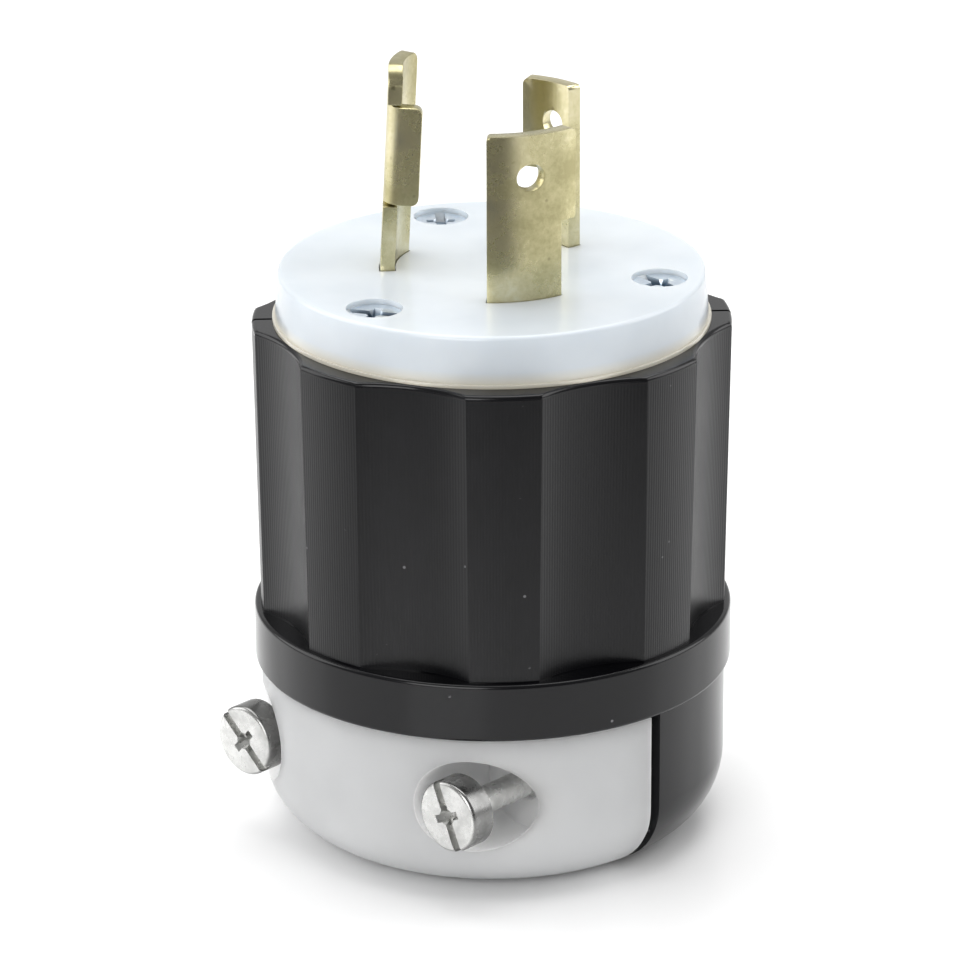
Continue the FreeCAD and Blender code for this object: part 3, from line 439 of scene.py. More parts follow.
# Nylon 6/6 in white: slightly translucent, so its shade stays soft and a little blue, in clouds of 14 mm,
# and creamy at its foot. Its polished skin mirrors the blades' feet, with a grain drawn at 0.7 mm and faint
# waves of 8 mm where the moulding shrank.
white_nylon, tree, skin, here = new_material("white_moulded_nylon")
parted = add(tree, "SeparateXYZ", {}, [("Vector", here)])
sink = add(tree, "TexNoise", {"Scale": 130.0, "Detail": 2.0}, [("Vector", here)])
fine = add(tree, "TexNoise", {"Scale": 1500.0, "Detail": 2.0}, [("Vector", here)])
clouds = add(tree, "TexNoise", {"Scale": 70.0, "Detail": 3.0}, [("Vector", here)])
tone = ramp(tree, clouds.outputs["Fac"], [(0.35, "#c6cdd3"), (0.65, "#d0d6db")])
foot = add(tree, "MapRange", {"From Min": (RIM + 1.8) * MM, "From Max": (RIM + 0.1) * MM},
           [("Value", parted.outputs["Z"])])
creamy = add(tree, "Mix", {7: linear("#d6d0bf")}, [(0, foot.outputs[0]), (6, tone.outputs["Color"])],
             data_type="RGBA")
waved = add(tree, "Bump", {"Strength": 0.12, "Distance": 0.0004}, [("Height", sink.outputs["Fac"])])
skinned = add(tree, "Bump", {"Strength": 0.06, "Distance": 0.00004},
              [("Height", fine.outputs["Fac"]), ("Normal", waved.outputs["Normal"])])
tree.links.new(creamy.outputs[2], skin.inputs["Base Color"])
tree.links.new(skinned.outputs["Normal"], skin.inputs["Normal"])
skin.inputs["Roughness"].default_value = 0.2
skin.inputs["IOR"].default_value = 1.53
skin.inputs["Subsurface Weight"].default_value = 0.4
skin.inputs["Subsurface Scale"].default_value = 0.0025
skin.inputs["Subsurface Radius"].default_value = (0.9, 1.0, 1.1)
dress(face, "plug_body", "front_face", white_nylon)

# Blades. Stamped from 1.7 mm brass strip and rolled to one circle: two poles with a round test hole,
# and the longer earth blade with a flange folded inwards. Past its notch each reaches further one way.
MID_RADIUS = (BLADE_OUTER + BLADE_INNER) / 2
THICKNESS = BLADE_OUTER - BLADE_INNER
TANG_FOOT = 44.2
NOTCH_TOP = FACE_TOP + 8.95
EARTH_NOTCH_TOP = FACE_TOP + 8.2
POLE_TOP = FACE_TOP + 19.8
EARTH_TOP = FACE_TOP + 24.8
TANG_HALF = 19.0
EAR_HALF = 24.0
EAR_FOOT = 55.0
TERMINAL_HEIGHT = 49.0
SCREW_HOLE = 2.16
TEST_HOLE = 1.6
TEST_HOLE_HEIGHT = FACE_TOP + 14.75
TEST_HOLE_LEAD = 2.6
FLANGE_TOP = FACE_TOP + 20.1
FLANGE_DEPTH = 4.25
SLIT = 0.25
FOLD_RADIUS = 1.35
EARTH_REACH = 20.0
LEAN = 3.0
LEAN_RADIUS = 12.0


def stamped(name, corners, rounded, holes):
    """A flat blank in the XZ plane with its outer side towards -Y, from corners in millimetres.

    rounded holds (corner, radius) pairs, and holes holds (x, z, radius) triples.
    """
    piece = drawn_line(name, [(x, -THICKNESS / 2, z) for x, z in corners])
    for corner, radius in rounded:
        select(piece, "verts", lambda v: abs(v.co.x - corner[0] * MM) + abs(v.co.z - corner[1] * MM) < 1e-6)
        bpy.ops.mesh.bevel(offset=radius * MM, segments=6, affect="VERTICES")
    bpy.ops.mesh.select_mode(type="EDGE")
    bpy.ops.mesh.select_all(action="SELECT")
    bpy.ops.mesh.edge_face_add()
    bpy.ops.mesh.extrude_region_move(TRANSFORM_OT_translate={"value": (0, THICKNESS * MM, 0)})
    bpy.ops.mesh.select_all(action="SELECT")
    bpy.ops.mesh.normals_make_consistent(inside=False)
    close_edit()
    for x, z, radius in holes:
        carve(piece, rod(radius, 6, (x, 0, z), "Y", 40))
    return piece


def broken_edges(piece, width, segments=2):
    """The small radius that tumbling leaves on a stamping's edges."""
    bevel = piece.modifiers.new("tumbled", "BEVEL")
    bevel.limit_method = "ANGLE"
    bevel.angle_limit = math.radians(50)
    bevel.width = width * MM
    bevel.segments = segments
    bpy.context.view_layer.objects.active = piece
    bpy.ops.object.modifier_apply(modifier=bevel.name)


def sliced(piece, low, high, step, heights=()):
    """Cuts upright lines through a flat blank, so that it can be rolled, and level ones where it is bent."""
    edit(piece)
    for k in range(int((high - low) / step) + 1):
        bpy.ops.mesh.select_all(action="SELECT")
        bpy.ops.mesh.bisect(plane_co=((low + k * step) * MM, 0, 0), plane_no=(1, 0, 0))
    for height in heights:
        bpy.ops.mesh.select_all(action="SELECT")
        bpy.ops.mesh.bisect(plane_co=(0, 0, height * MM), plane_no=(0, 0, 1))
    close_edit()


def rolled(piece, azimuth, fold_at=None):
    """Rolls a flat blank to the blade circle, and turns it to its azimuth.

    With fold_at, the flange past it is folded inwards, and above the front the blade leans inwards too.
    """
    for vertex in piece.data.vertices:
        x, y, z = [c / MM for c in vertex.co]
        turn = x / MID_RADIUS
        radius = MID_RADIUS - y
        in_flange = EARTH_NOTCH_TOP - SLIT / 2 < z < FLANGE_TOP + SLIT / 2
        if fold_at is not None and x > fold_at and in_flange:
            turn = fold_at / MID_RADIUS
            arc_length = FOLD_RADIUS * math.pi / 2
            bent = min((x - fold_at) / FOLD_RADIUS, math.pi / 2)
            past = max(x - fold_at - arc_length, 0)
            reach = FOLD_RADIUS - y
            sideways = reach * math.sin(bent)
            inwards = FOLD_RADIUS - reach * math.cos(bent) + past
            radius = MID_RADIUS - inwards
            vertex.co = (radius * math.sin(turn) + sideways * math.cos(turn),
                         -radius * math.cos(turn) + sideways * math.sin(turn), z)
        else:
            vertex.co = (radius * math.sin(turn), -radius * math.cos(turn), z)
        if fold_at is not None and z > FACE_TOP:
            along = z - FACE_TOP
            bend = min(along / LEAN_RADIUS, math.radians(LEAN))
            straight = max(along - LEAN_RADIUS * math.radians(LEAN), 0)
            pulled = LEAN_RADIUS - BLADE_OUTER - vertex.co.y
            vertex.co.y = -(BLADE_OUTER - LEAN_RADIUS) - pulled * math.cos(bend) + straight * math.sin(bend)
            vertex.co.z = FACE_TOP + pulled * math.sin(bend) + straight * math.cos(bend)
        vertex.co = Matrix.Rotation(math.radians(azimuth), 4, "Z") @ Vector(vertex.co) * MM
    tidy_mesh(piece)


def width_of(degrees):
    """Length along the middle of the rolled sheet."""
    return math.radians(degrees) * MID_RADIUS


def with_tang(foot, above):
    """The corners of a whole blank, from those above its slot. All blades have the same eared tang."""
    tang = width_of(TANG_HALF)
    ear = width_of(EAR_HALF)
    rising = [(-tang, TANG_FOOT), (tang, TANG_FOOT), (tang, EAR_FOOT), (ear, EAR_FOOT), (ear, FACE_BACK)]
    falling = [(-ear, FACE_BACK), (-ear, EAR_FOOT), (-tang, EAR_FOOT)]
    return rising + [(foot, FACE_BACK)] + above + [(-foot, FACE_BACK)] + falling


# Cartridge brass, rolled, stamped, tumbled and a little tarnished: pale gold where it is bright, olive in
# patches of about 9 mm where it has dulled, with a 0.6 mm mottle, grinding lines 0.15 mm apart along the
# blade, and a few dark spots.
brass, tree, skin, here = new_material("tarnished_rolled_brass")
lengthwise = add(tree, "Mapping", {"Scale": (1.0, 1.0, 0.06)}, [("Vector", here)])
tarnish = add(tree, "TexNoise", {"Scale": 110.0, "Detail": 3.0, "Roughness": 0.5}, [("Vector", here)])
mottle = add(tree, "TexNoise", {"Scale": 1700.0, "Detail": 4.0, "Roughness": 0.7}, [("Vector", here)])
lines = add(tree, "TexNoise", {"Scale": 6500.0, "Detail": 3.0}, [("Vector", lengthwise.outputs["Vector"])])
spots = add(tree, "TexVoronoi", {"Scale": 260.0}, [("Vector", here)], feature="F1")
dark = add(tree, "MapRange", {"From Min": 0.1, "From Max": 0.04, "To Max": 0.7},
           [("Value", spots.outputs["Distance"])])
both = add(tree, "Mix", {0: 0.25}, [(2, tarnish.outputs["Fac"]), (3, mottle.outputs["Fac"])],
           data_type="FLOAT")
tone = ramp(tree, both.outputs[0],
            [(0.36, "#a8a179"), (0.47, "#bfb88f"), (0.56, "#d1c9a3"), (0.68, "#e2dcbf")])
spotted = add(tree, "Mix", {7: linear("#4a3f24")}, [(0, dark.outputs[0]), (6, tone.outputs["Color"])],
              data_type="RGBA")
dulled = add(tree, "MapRange", {"From Min": 0.36, "From Max": 0.66, "To Min": 0.32, "To Max": 0.2},
             [("Value", both.outputs[0])])
ground_lines = add(tree, "Bump", {"Strength": 0.1, "Distance": 0.00001}, [("Height", lines.outputs["Fac"])])
pitted = add(tree, "Bump", {"Strength": 0.03, "Distance": 0.00003},
             [("Height", mottle.outputs["Fac"]), ("Normal", ground_lines.outputs["Normal"])])
tree.links.new(spotted.outputs[2], skin.inputs["Base Color"])
tree.links.new(dulled.outputs[0], skin.inputs["Roughness"])
tree.links.new(pitted.outputs["Normal"], skin.inputs["Normal"])
skin.inputs["Metallic"].default_value = 1.0

# The two poles: hook is the angle by which a blade reaches further past its notch
for name, hook in (("neutral", 9.75), ("line", 12.5)):
    azimuth, foot_half = BLADES[name]
    foot, reach, ear = [width_of(a) for a in (foot_half, foot_half + hook, EAR_HALF)]
    corners = with_tang(foot, [(foot, NOTCH_TOP), (reach, NOTCH_TOP), (reach, POLE_TOP), (-foot, POLE_TOP)])
    rounded = [((reach, POLE_TOP), 0.8), ((-foot, POLE_TOP), 0.5), ((reach, NOTCH_TOP), 0.4)]
    holes = [(0, TERMINAL_HEIGHT, SCREW_HOLE), (width_of(TEST_HOLE_LEAD), TEST_HOLE_HEIGHT, TEST_HOLE)]
    blade = stamped(name + "_brass_blade", corners, rounded, holes)
    edit(blade)
    select(blade, "edges", lambda e: all(v.co.z > (POLE_TOP - 0.01) * MM and v.co.y < 0 for v in e.verts))
    bpy.ops.mesh.bevel(offset=0.45 * MM, segments=2)
    close_edit()
    broken_edges(blade, 0.12)
    sliced(blade, -ear, max(reach, ear), 0.35)
    rolled(blade, azimuth)
    smooth(blade, 35)
    dress(blade, "plug_body", name + "_blade", brass)

# Earth blade: the same blank with a flange, parted from tip and foot by narrow slits and folded inwards
azimuth, foot_half = BLADES["ground"]
foot, reach, ear = [width_of(a) for a in (foot_half, EARTH_REACH, EAR_HALF)]
fold_line = reach - FOLD_RADIUS - THICKNESS / 2
flange_end = fold_line + FOLD_RADIUS * math.pi / 2 + FLANGE_DEPTH - THICKNESS / 2 - FOLD_RADIUS
corners = with_tang(foot, [
    (foot, EARTH_NOTCH_TOP - SLIT), (fold_line, EARTH_NOTCH_TOP - SLIT), (fold_line, EARTH_NOTCH_TOP),
    (flange_end, EARTH_NOTCH_TOP), (flange_end, FLANGE_TOP), (fold_line, FLANGE_TOP),
    (fold_line, FLANGE_TOP + SLIT), (reach, FLANGE_TOP + SLIT), (reach, EARTH_TOP), (-foot, EARTH_TOP)])
rounded = [((reach, EARTH_TOP), 2.3), ((-foot, EARTH_TOP), 1.3), ((flange_end, EARTH_NOTCH_TOP), 0.9),
           ((flange_end, FLANGE_TOP), 0.9)]
blade = stamped("earth_brass_blade", corners, rounded, [(0, TERMINAL_HEIGHT, SCREW_HOLE)])
broken_edges(blade, 0.1)
sliced(blade, -ear, flange_end, 0.3, [FACE_TOP + 0.16 * k for k in range(6)])
rolled(blade, azimuth, fold_at=fold_line)
smooth(blade, 35)
dress(blade, "plug_body", "ground_blade", brass)

# Assembly screws. Zinc-plated steel, with flat heads sunk a little under the front's face, and a slot and
# a cross recess together. They hold front and terminal block down on the housing's three pillars.
SHANK_RADIUS = 1.75
SHANK_LENGTH = 37.7
SHANK_TAPER = 0.6
FLAT_HEAD_RADIUS = 3.2
HEAD_EDGE = 0.12
CROSS_WING = 2.0
CROSS_HALF = 0.52
CROSS_TIP = 0.4
CROSS_MOUTH = 1.2
SLOT_SHARE = 0.62
OFF_EDGES = 0.7


def recess(piece, slot_width, depth):
    """Cuts a tapered cross and a through slot into a head whose top is at z = 0.

    The cutters are turned a little, so that none of their edges falls on an edge of the head.
    """
    carve(piece, rod(CROSS_TIP, depth + 0.4, (0, 0, 0.2 - depth / 2), sides=26, top_radius=CROSS_MOUTH))
    for turn, floor in ((OFF_EDGES, depth * 0.97), (90 + OFF_EDGES, depth * 0.95)):
        wing = block((-CROSS_WING, -CROSS_HALF, -floor), (CROSS_WING, CROSS_HALF, 0.4))
        edit(wing)
        select(wing, "verts", lambda v: v.co.z < 0)
        bpy.ops.transform.resize(value=(0.4, 0.6, 1.0))
        close_edit()
        wing.matrix_world = Matrix.Rotation(math.radians(turn), 4, "Z") @ wing.matrix_world
        carve(piece, wing)
    slot = block((-6, -slot_width / 2, -depth * SLOT_SHARE), (6, slot_width / 2, 1))
    slot.matrix_world = Matrix.Rotation(math.radians(OFF_EDGES), 4, "Z") @ slot.matrix_world
    carve(piece, slot)


def copied(piece, name):
    """A second piece like the first, with a mesh of its own."""
    bpy.ops.object.select_all(action="DESELECT")
    bpy.context.view_layer.objects.active = piece
    piece.select_set(True)
    bpy.ops.object.duplicate()
    copy = bpy.context.object
    copy.name = name
    copy.data.name = name
    return copy


def placed(piece, matrix):
    """Moves a finished piece's mesh to its place, in millimetres, and leaves its object at the origin."""
    bpy.ops.object.select_all(action="DESELECT")
    piece.select_set(True)
    bpy.context.view_layer.objects.active = piece
    bpy.ops.object.transform_apply(location=True, rotation=True, scale=True)
    matrix = matrix.copy()
    matrix.translation *= MM
    piece.data.transform(matrix)


def plated(name, bright, dull, rough_low, rough_high, shade_and_grime_below=None):
    """A plated and tumbled metal: tool marks across it, dull blotches, and below a height in mm a darker
    colour, which is painted shade with grime.
    """
    material, tree, skin, here = new_material(name)
    blotch = add(tree, "TexNoise", {"Scale": 420.0, "Detail": 5.0, "Roughness": 0.65}, [("Vector", here)])
    marks = add(tree, "TexNoise", {"Scale": 2400.0, "Detail": 4.0, "Roughness": 0.7}, [("Vector", here)])
    tone = ramp(tree, blotch.outputs["Fac"], [(0.34, dull), (0.62, bright)])
    gloss = add(tree, "MapRange",
                {"From Min": 0.3, "From Max": 0.7, "To Min": rough_high, "To Max": rough_low},
                [("Value", blotch.outputs["Fac"])])
    marked = add(tree, "Bump", {"Strength": 0.18, "Distance": 0.00004}, [("Height", marks.outputs["Fac"])])
    colour = tone.outputs["Color"]
    if shade_and_grime_below is not None:
        # Painted shade with some grime: the colour turns darker and bluer below the height, down in the
        # recess
        parted = add(tree, "SeparateXYZ", {}, [("Vector", here)])
        recess_shade_and_grime = add(tree, "MapRange", {"From Min": shade_and_grime_below * MM, "From Max": (shade_and_grime_below - 0.5) * MM},
                    [("Value", parted.outputs["Z"])])
        shaded_and_grimed = add(tree, "Mix", {7: linear("#8493a1")}, [(0, recess_shade_and_grime.outputs[0]), (6, colour)],
                     data_type="RGBA")
        colour = shaded_and_grimed.outputs[2]
    tree.links.new(colour, skin.inputs["Base Color"])
    tree.links.new(gloss.outputs[0], skin.inputs["Roughness"])
    tree.links.new(marked.outputs["Normal"], skin.inputs["Normal"])
    skin.inputs["Metallic"].default_value = 1.0
    return material


# Cold-headed steel, zinc plated and passivated blue: satin and cool in tone, in 2 mm blotches, and darker
# down in the recess, as painted shade with some grime. Its tool marks are drawn at 0.4 mm, coarser than they
# are.
zinc = plated("blue_zinc_plated_steel", "#e2eaf1", "#c3ced9", 0.3, 0.44,
              shade_and_grime_below=FACE_TOP - SCREW_SUNK - 0.05)
outline = [(0, -SHANK_LENGTH), (SHANK_RADIUS - SHANK_TAPER, -SHANK_LENGTH)]
outline += [(SHANK_RADIUS, SHANK_TAPER - SHANK_LENGTH), (SHANK_RADIUS, -SINK_DEPTH)]
outline += [(FLAT_HEAD_RADIUS, -HEAD_EDGE)]
outline += arc(FLAT_HEAD_RADIUS - HEAD_EDGE, -HEAD_EDGE, HEAD_EDGE, 0, 90, 2) + [(0, 0)]
pattern = turned("assembly_screw_zinc", outline, 64)
recess(pattern, 1.2, 1.6)
smooth(pattern, 35)
for number, azimuth in enumerate(ASSEMBLY_AZIMUTHS, start=1):
    screw = copied(pattern, "assembly_screw_zinc_%d" % number)
    place = Matrix.Translation((*at_azimuth(ASSEMBLY_CIRCLE, azimuth), FACE_TOP - SCREW_SUNK))
    placed(screw, place @ Matrix.Rotation(math.radians(azimuth + 25 * number), 4, "Z"))
    dress(screw, "plug_body", "assembly_screw_%d" % number, zinc)
bpy.data.objects.remove(pattern)

# Loose clamp half. One moulding in natural nylon with a grooved cord arch, two deep round screw pockets
# and two cores from above. Two long screws draw it towards the fixed half, with the cord between them.
JAW_FACE = 2.95
CLAMP_TOP = 20.6
POCKET_RADIUS = 5.7
POCKET_FLOOR = 12.7
CORE_SIDES = (0.9, 8.4)
CORE_FRONT = -23.6
CORE_BACK = -15.8
CORE_FLOOR = 5.5
JAW_EDGE_ROUND = 0.8
clamp = turned("pale_cord_clamp", base_side(CLAMP_TOP) + arch_side(CLAMP_TOP), 180)
cut_off(clamp, -JAW_FACE, past=1)
for side in (-1, 1):
    across = side * SCREW_SIDE
    low, high = sorted(side * c for c in CORE_SIDES)
    carve(clamp, rod(CLAMP_SCREW_PASS, 60, (across, 0, SCREW_HEIGHT), "Y", 48))
    carve(clamp, rod(POCKET_RADIUS, 30, (across, -POCKET_FLOOR - 15, SCREW_HEIGHT), "Y", 120))
    carve(clamp, block((low, CORE_FRONT, CORE_FLOOR), (high, CORE_BACK, CLAMP_TOP + 1)))


def on_jaw_edge(edge):
    """Whether an edge lies where the clamp's jaw face meets its top."""
    return all(abs(v.co.y + JAW_FACE * MM) < 1e-6 and abs(v.co.z - CLAMP_TOP * MM) < 1e-6
               for v in edge.verts)


edit(clamp)
select(clamp, "edges", on_jaw_edge)
bpy.ops.mesh.bevel(offset=JAW_EDGE_ROUND * MM, segments=5)
close_edit()
broken_edges(clamp, 0.35, 3)
smooth(clamp, 32)


def off_screw_axis(tree, here):
    """How far a point lies from the axis of the clamp screw on its own side."""
    parted = add(tree, "SeparateXYZ", {}, [("Vector", here)])
    sideways = add(tree, "Math", {}, [(0, parted.outputs["X"])], operation="ABSOLUTE")
    flat = add(tree, "CombineXYZ", {}, [("X", sideways.outputs[0]), ("Z", parted.outputs["Z"])])
    away = add(tree, "VectorMath", {1: (SCREW_SIDE * MM, 0.0, SCREW_HEIGHT * MM)}, [(0, flat.outputs[0])],
               operation="DISTANCE")
    return away.outputs["Value"]


# Nylon 6/6 without pigment, injection moulded: milky and satin, in clouds of 17 mm, with a grain drawn at
# 0.6 mm and faint sink waves of 9 mm. Light goes far into it and comes through the thin walls round the
# screw pockets, so those are drawn paler.
natural_nylon, tree, skin, here = new_material("natural_moulded_nylon")
clouds = add(tree, "TexNoise", {"Scale": 60.0, "Detail": 3.0}, [("Vector", here)])
fine = add(tree, "TexNoise", {"Scale": 1800.0, "Detail": 3.0}, [("Vector", here)])
sink = add(tree, "TexNoise", {"Scale": 110.0, "Detail": 2.0}, [("Vector", here)])
tone = ramp(tree, clouds.outputs["Fac"], [(0.35, "#bdbebf"), (0.65, "#c6c7c8")])
waved = add(tree, "Bump", {"Strength": 0.12, "Distance": 0.0003}, [("Height", sink.outputs["Fac"])])
skinned = add(tree, "Bump", {"Strength": 0.12, "Distance": 0.00003},
              [("Height", fine.outputs["Fac"]), ("Normal", waved.outputs["Normal"])])
in_pocket = add(tree, "MapRange", {"From Min": (POCKET_RADIUS + 0.15) * MM, "From Max": POCKET_RADIUS * MM},
                [("Value", off_screw_axis(tree, here))])
glowing = add(tree, "Mix", {7: linear("#ffffff")}, [(0, in_pocket.outputs[0]), (6, tone.outputs["Color"])],
              data_type="RGBA")
tree.links.new(glowing.outputs[2], skin.inputs["Base Color"])
tree.links.new(skinned.outputs["Normal"], skin.inputs["Normal"])
skin.inputs["Roughness"].default_value = 0.36
skin.inputs["IOR"].default_value = 1.53
skin.inputs["Subsurface Weight"].default_value = 1.0
skin.inputs["Subsurface Scale"].default_value = 0.012
skin.inputs["Subsurface Radius"].default_value = (1.0, 1.0, 1.0)
dress(clamp, "cord_clamp", "cord_clamp", natural_nylon)

# Clamp screws. Nickel-plated steel: a cheese head with slot and cross, a thinner neck that keeps the
# screw captive in the clamp half, and a rolled 0.8 mm thread that runs into the square nut.
HEAD_TOP = 26.2
HEAD_HEIGHT = 3.5
HEAD_RADIUS = 4.3
NECK_RADIUS = 1.65
NECK_END = 13.5
THREAD_LENGTH = 24.3
THREAD_PITCH = 0.8
THREAD_ROOT = 1.6
THREAD_CREST = 2.05
THREAD_CORE = 1.66

# Turned steel, nickel plated: bright and a little warm, with tumbling marks. The heads' round sides are
# painted darker than the faced tops: painted shade.
nickel = plated("nickel_plated_steel", "#dededc", "#c0c0be", 0.22, 0.34)
tree = nickel.node_tree
skin = tree.nodes["Principled BSDF"]
here = add(tree, "TexCoord", {}).outputs["Object"]
# Painted shade: the colour is multiplied darker on the heads' round sides, near their full radius
shaded_head_side = add(tree, "MapRange",
              {"From Min": (HEAD_RADIUS - 0.35) * MM, "From Max": (HEAD_RADIUS - 0.1) * MM},
              [("Value", off_screw_axis(tree, here))])
plain = skin.inputs["Base Color"].links[0].from_socket
painted_side_shade = add(tree, "Mix", {7: linear("#a0a0a0")}, [(0, shaded_head_side.outputs[0]), (6, plain)], data_type="RGBA",
               blend_type="MULTIPLY")
tree.links.new(painted_side_shade.outputs[2], skin.inputs["Base Color"])
outline = [(0, -NECK_END), (NECK_RADIUS, -NECK_END), (NECK_RADIUS, -HEAD_HEIGHT)]
outline += [(HEAD_RADIUS - 0.2, -HEAD_HEIGHT), (HEAD_RADIUS, 0.2 - HEAD_HEIGHT)]
outline += arc(HEAD_RADIUS - EDGE_ROUND, -EDGE_ROUND, EDGE_ROUND, 0, 90, 5) + [(0, 0)]
pattern = turned("head", outline, 96)
recess(pattern, 1.1, 1.9)
tip = -NECK_END - THREAD_LENGTH
core = turned("core", [(0, -NECK_END), (0, tip), (1.3, tip), (THREAD_CORE, tip + 0.5),
                       (THREAD_CORE, -NECK_END)], 32)
crest = -NECK_END - THREAD_PITCH / 2
ridge = drawn_line("thread", [(THREAD_ROOT, 0, -NECK_END), (THREAD_CREST - 0.03, 0, crest + 0.07),
                              (THREAD_CREST, 0, crest), (THREAD_CREST - 0.03, 0, crest - 0.07),
                              (THREAD_ROOT, 0, -NECK_END - THREAD_PITCH)], closed=False)
close_edit()
winding = ridge.modifiers.new("wound", "SCREW")
winding.screw_offset = -THREAD_PITCH * MM
winding.iterations = int((THREAD_LENGTH - 0.6) / THREAD_PITCH)
winding.steps = winding.render_steps = 28
winding.use_merge_vertices = True
bpy.ops.object.modifier_apply(modifier=winding.name)
tidy_mesh(ridge)
pattern = joined("clamp_screw_nickel", pattern, core, ridge)
smooth(pattern, 35)

# Each screw stopped at a turn of its own when it was driven in
for name, side, spin in (("left", -1, 137), ("right", 1, 113)):
    screw = copied(pattern, "clamp_screw_nickel_" + name)
    lying = Matrix.Rotation(math.pi / 2, 4, "X") @ Matrix.Rotation(math.radians(spin), 4, "Z")
    placed(screw, Matrix.Translation((side * SCREW_SIDE, -HEAD_TOP, SCREW_HEIGHT)) @ lying)
    dress(screw, "clamp_screw_" + name, "clamp_screw_" + name, nickel)
bpy.data.objects.remove(pattern)

# Square nuts. The same nickel-plated steel, pressed and tapped, one in each pocket of the fixed half.
NUT_HALF = 4
NUT_THICKNESS = 3
NUT_BORE = 2.11
pattern = block((-NUT_HALF, -NUT_HALF, 0), (NUT_HALF, NUT_HALF, NUT_THICKNESS))
pattern.name = "square_nut_nickel"
carve(pattern, rod(NUT_BORE, 8, (0, 0, NUT_THICKNESS / 2), sides=40))
broken_edges(pattern, 0.35, 3)
smooth(pattern, 35)
for name, side in (("left", -1), ("right", 1)):
    nut = copied(pattern, "square_nut_nickel_" + name)
    lying = Matrix.Rotation(-math.pi / 2, 4, "X")
    placed(nut, Matrix.Translation((side * SCREW_SIDE, NUT_SEAT, SCREW_HEIGHT)) @ lying)
    dress(nut, "plug_body", "clamp_nut_" + name, nickel)
bpy.data.objects.remove(pattern)

# Inner pieces that stay as they were packed: the white terminal block behind the front, and on it a
# screw and a pressure plate for each conductor, told apart by nickel, brass and green lacquer. Turned brass
# is warm and bright under its tool marks. The lacquer is a glossy green, thinner in patches of 2 mm.
terminal_brass = plated("turned_brass", "#d8c27a", "#b59a52", 0.22, 0.38)
green_lacquer, tree, skin, here = new_material("green_lacquered_steel")
worn = add(tree, "TexNoise", {"Scale": 500.0, "Detail": 4.0}, [("Vector", here)])
tone = ramp(tree, worn.outputs["Fac"], [(0.35, "#1f5c2c"), (0.65, "#37803f")])
tree.links.new(tone.outputs["Color"], skin.inputs["Base Color"])
skin.inputs["Metallic"].default_value = 0.5
skin.inputs["Roughness"].default_value = 0.3
finishes = {"terminal_block": white_nylon}
for name, finish in (("neutral", nickel), ("line", terminal_brass), ("ground", green_lacquer)):
    finishes[name + "_terminal_screw"] = finish
    finishes[name + "_wire_plate"] = finish
for name, finish in finishes.items():
    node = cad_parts[name]
    if not node.material_slots:
        node.data.materials.append(None)
    for place in node.material_slots:
        place.link = "OBJECT"
        place.material = finish

# Studio. The plug stands on a table of white acrylic, polished and smeared in patches of 33 mm, which
# takes soft shadows. The camera has the photograph's place: 600 mm away along azimuth 42.3, and 271 mm
# above the table.
TABLE_SIDE = 6000.0
bpy.ops.object.select_all(action="DESELECT")
bpy.ops.mesh.primitive_plane_add(size=TABLE_SIDE * MM)
table = bpy.context.object
table.name = "table"
white_table, tree, skin, here = new_material("white_acrylic_table")
smear = add(tree, "TexNoise", {"Scale": 30.0, "Detail": 3.0}, [("Vector", here)])
gloss = add(tree, "MapRange", {"To Min": 0.22, "To Max": 0.3}, [("Value", smear.outputs["Fac"])])
tree.links.new(gloss.outputs[0], skin.inputs["Roughness"])
skin.inputs["Base Color"].default_value = linear("#fafafa")
skin.inputs["Specular IOR Level"].default_value = 0.35
table.data.materials.append(white_table)

CAMERA_AZIMUTH = 42.3
CAMERA_DISTANCE = 600.0
CAMERA_HEIGHT = 271.37
CAMERA_SIDE = -0.4014
CAMERA_PITCH = 20.952
CAMERA_TURN = 0.023
CAMERA_ROLL = -0.208
CAMERA_LENS = 199.57
lead = math.radians(CAMERA_AZIMUTH)
camera = bpy.data.objects.new("camera", bpy.data.cameras.new("camera"))
bpy.context.scene.collection.objects.link(camera)
camera.data.sensor_width = 36.0
camera.data.lens = CAMERA_LENS
camera.data.clip_start = 0.05
camera.location = Vector((CAMERA_SIDE * math.cos(lead) + CAMERA_DISTANCE * math.sin(lead),
                          CAMERA_SIDE * math.sin(lead) - CAMERA_DISTANCE * math.cos(lead),
                          CAMERA_HEIGHT)) * MM
aim = Matrix.Rotation(math.radians(CAMERA_AZIMUTH + CAMERA_TURN), 4, "Z")
aim = aim @ Matrix.Rotation(math.radians(90 - CAMERA_PITCH), 4, "X")
aim = aim @ Matrix.Rotation(math.radians(CAMERA_ROLL), 4, "Z")
camera.rotation_euler = aim.to_euler()
bpy.context.scene.camera = camera


# Five soft boxes: the one above is the strongest, and the one in front is to the camera's left
PLUG_MIDDLE = 45.0


def soft_box(name, azimuth, distance, height, width, tall, power):
    """A soft box at an azimuth counted from the camera's, which looks at the plug. In metres and watts."""
    light = bpy.data.lights.new(name, "AREA")
    light.shape = "RECTANGLE"
    light.size = width
    light.size_y = tall
    light.energy = power
    box = bpy.data.objects.new(name, light)
    bpy.context.scene.collection.objects.link(box)
    box.location = (*at_azimuth(distance, CAMERA_AZIMUTH + azimuth), height)
    towards = Vector((0, 0, PLUG_MIDDLE * MM)) - box.location
    box.rotation_euler = towards.to_track_quat("-Z", "Y").to_euler()


soft_box("overhead", 180, 0.2, 0.8, 0.8, 0.8, 6)
soft_box("front", -22, 0.75, 0.33, 0.5, 0.5, 3)
soft_box("left_side", -105, 0.7, 0.4, 0.5, 0.6, 2.2)
soft_box("right_side", 100, 0.7, 0.4, 0.5, 0.6, 2.4)
soft_box("behind", 180, 0.9, 0.25, 1.2, 0.5, 0.5)

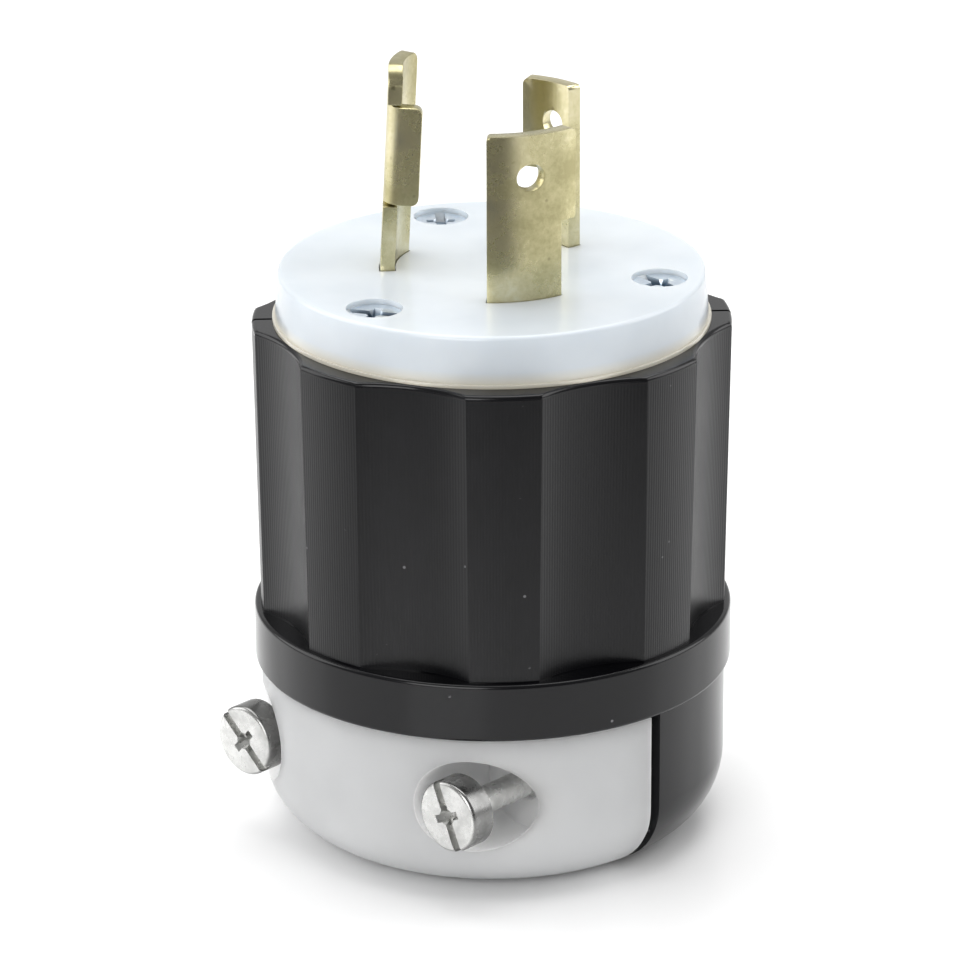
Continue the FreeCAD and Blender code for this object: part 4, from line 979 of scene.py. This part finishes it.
# A black card lies on the table in front of the plug, outside the picture. Only gloss shows it: it keeps
# the white table out of the grip and of the brass, which are dark there in the photograph. It is matt, and
# fades out towards the plug, so that no edge of it shows.
CARD_PLACE = (-80.0, -340.0, 1.0)
CARD_SIZE = (380.0, 520.0)
CARD_SOFT_FROM = 105.0
CARD_SOFT_TO = 230.0
bpy.ops.object.select_all(action="DESELECT")
bpy.ops.mesh.primitive_plane_add(size=1)
card = bpy.context.object
card.name = "black_card"
card.data.transform(Matrix.Rotation(math.radians(CAMERA_AZIMUTH), 4, "Z")
                    @ Matrix.Translation(Vector(CARD_PLACE) * MM)
                    @ Matrix.Diagonal((*(side * MM for side in CARD_SIZE), 1, 1)))
black_card, tree, skin, here = new_material("black_card")
away = add(tree, "VectorMath", {}, [(0, here)], operation="LENGTH")
fade = add(tree, "MapRange", {"From Min": CARD_SOFT_FROM * MM, "From Max": CARD_SOFT_TO * MM},
           [("Value", away.outputs["Value"])])
sides = add(tree, "NewGeometry", {})
upper_side = add(tree, "Math", {0: 1.0}, [(1, sides.outputs["Backfacing"])], operation="SUBTRACT")
seen = add(tree, "Math", {}, [(0, fade.outputs[0]), (1, upper_side.outputs[0])], operation="MULTIPLY")
tree.links.new(seen.outputs[0], skin.inputs["Alpha"])
skin.inputs["Base Color"].default_value = linear("#1c1c1c")
skin.inputs["Specular IOR Level"].default_value = 0.0
skin.inputs["Roughness"].default_value = 1.0
card.data.materials.append(black_card)
card.visible_camera = False
card.visible_diffuse = False
card.visible_shadow = False

# The room: white screens at the back, at both sides and above, and less light from the front
world = bpy.data.worlds.new("studio")
bpy.context.scene.world = world
world.use_nodes = True
tree = world.node_tree
around = add(tree, "TexCoord", {})
frontward = add(tree, "VectorMath", {1: (*at_azimuth(1, CAMERA_AZIMUTH), 0.0)},
                [(0, around.outputs["Generated"])], operation="DOT_PRODUCT")
dimmed = add(tree, "MapRange", {"From Min": -0.2, "From Max": 0.9, "To Min": 0.5, "To Max": 0.2},
             [("Value", frontward.outputs["Value"])])
screens = tree.nodes["Background"]
screens.inputs["Color"].default_value = (1.0, 1.0, 1.0, 1.0)
tree.links.new(dimmed.outputs[0], screens.inputs["Strength"])
bpy.context.scene.view_settings.view_transform = "Standard"
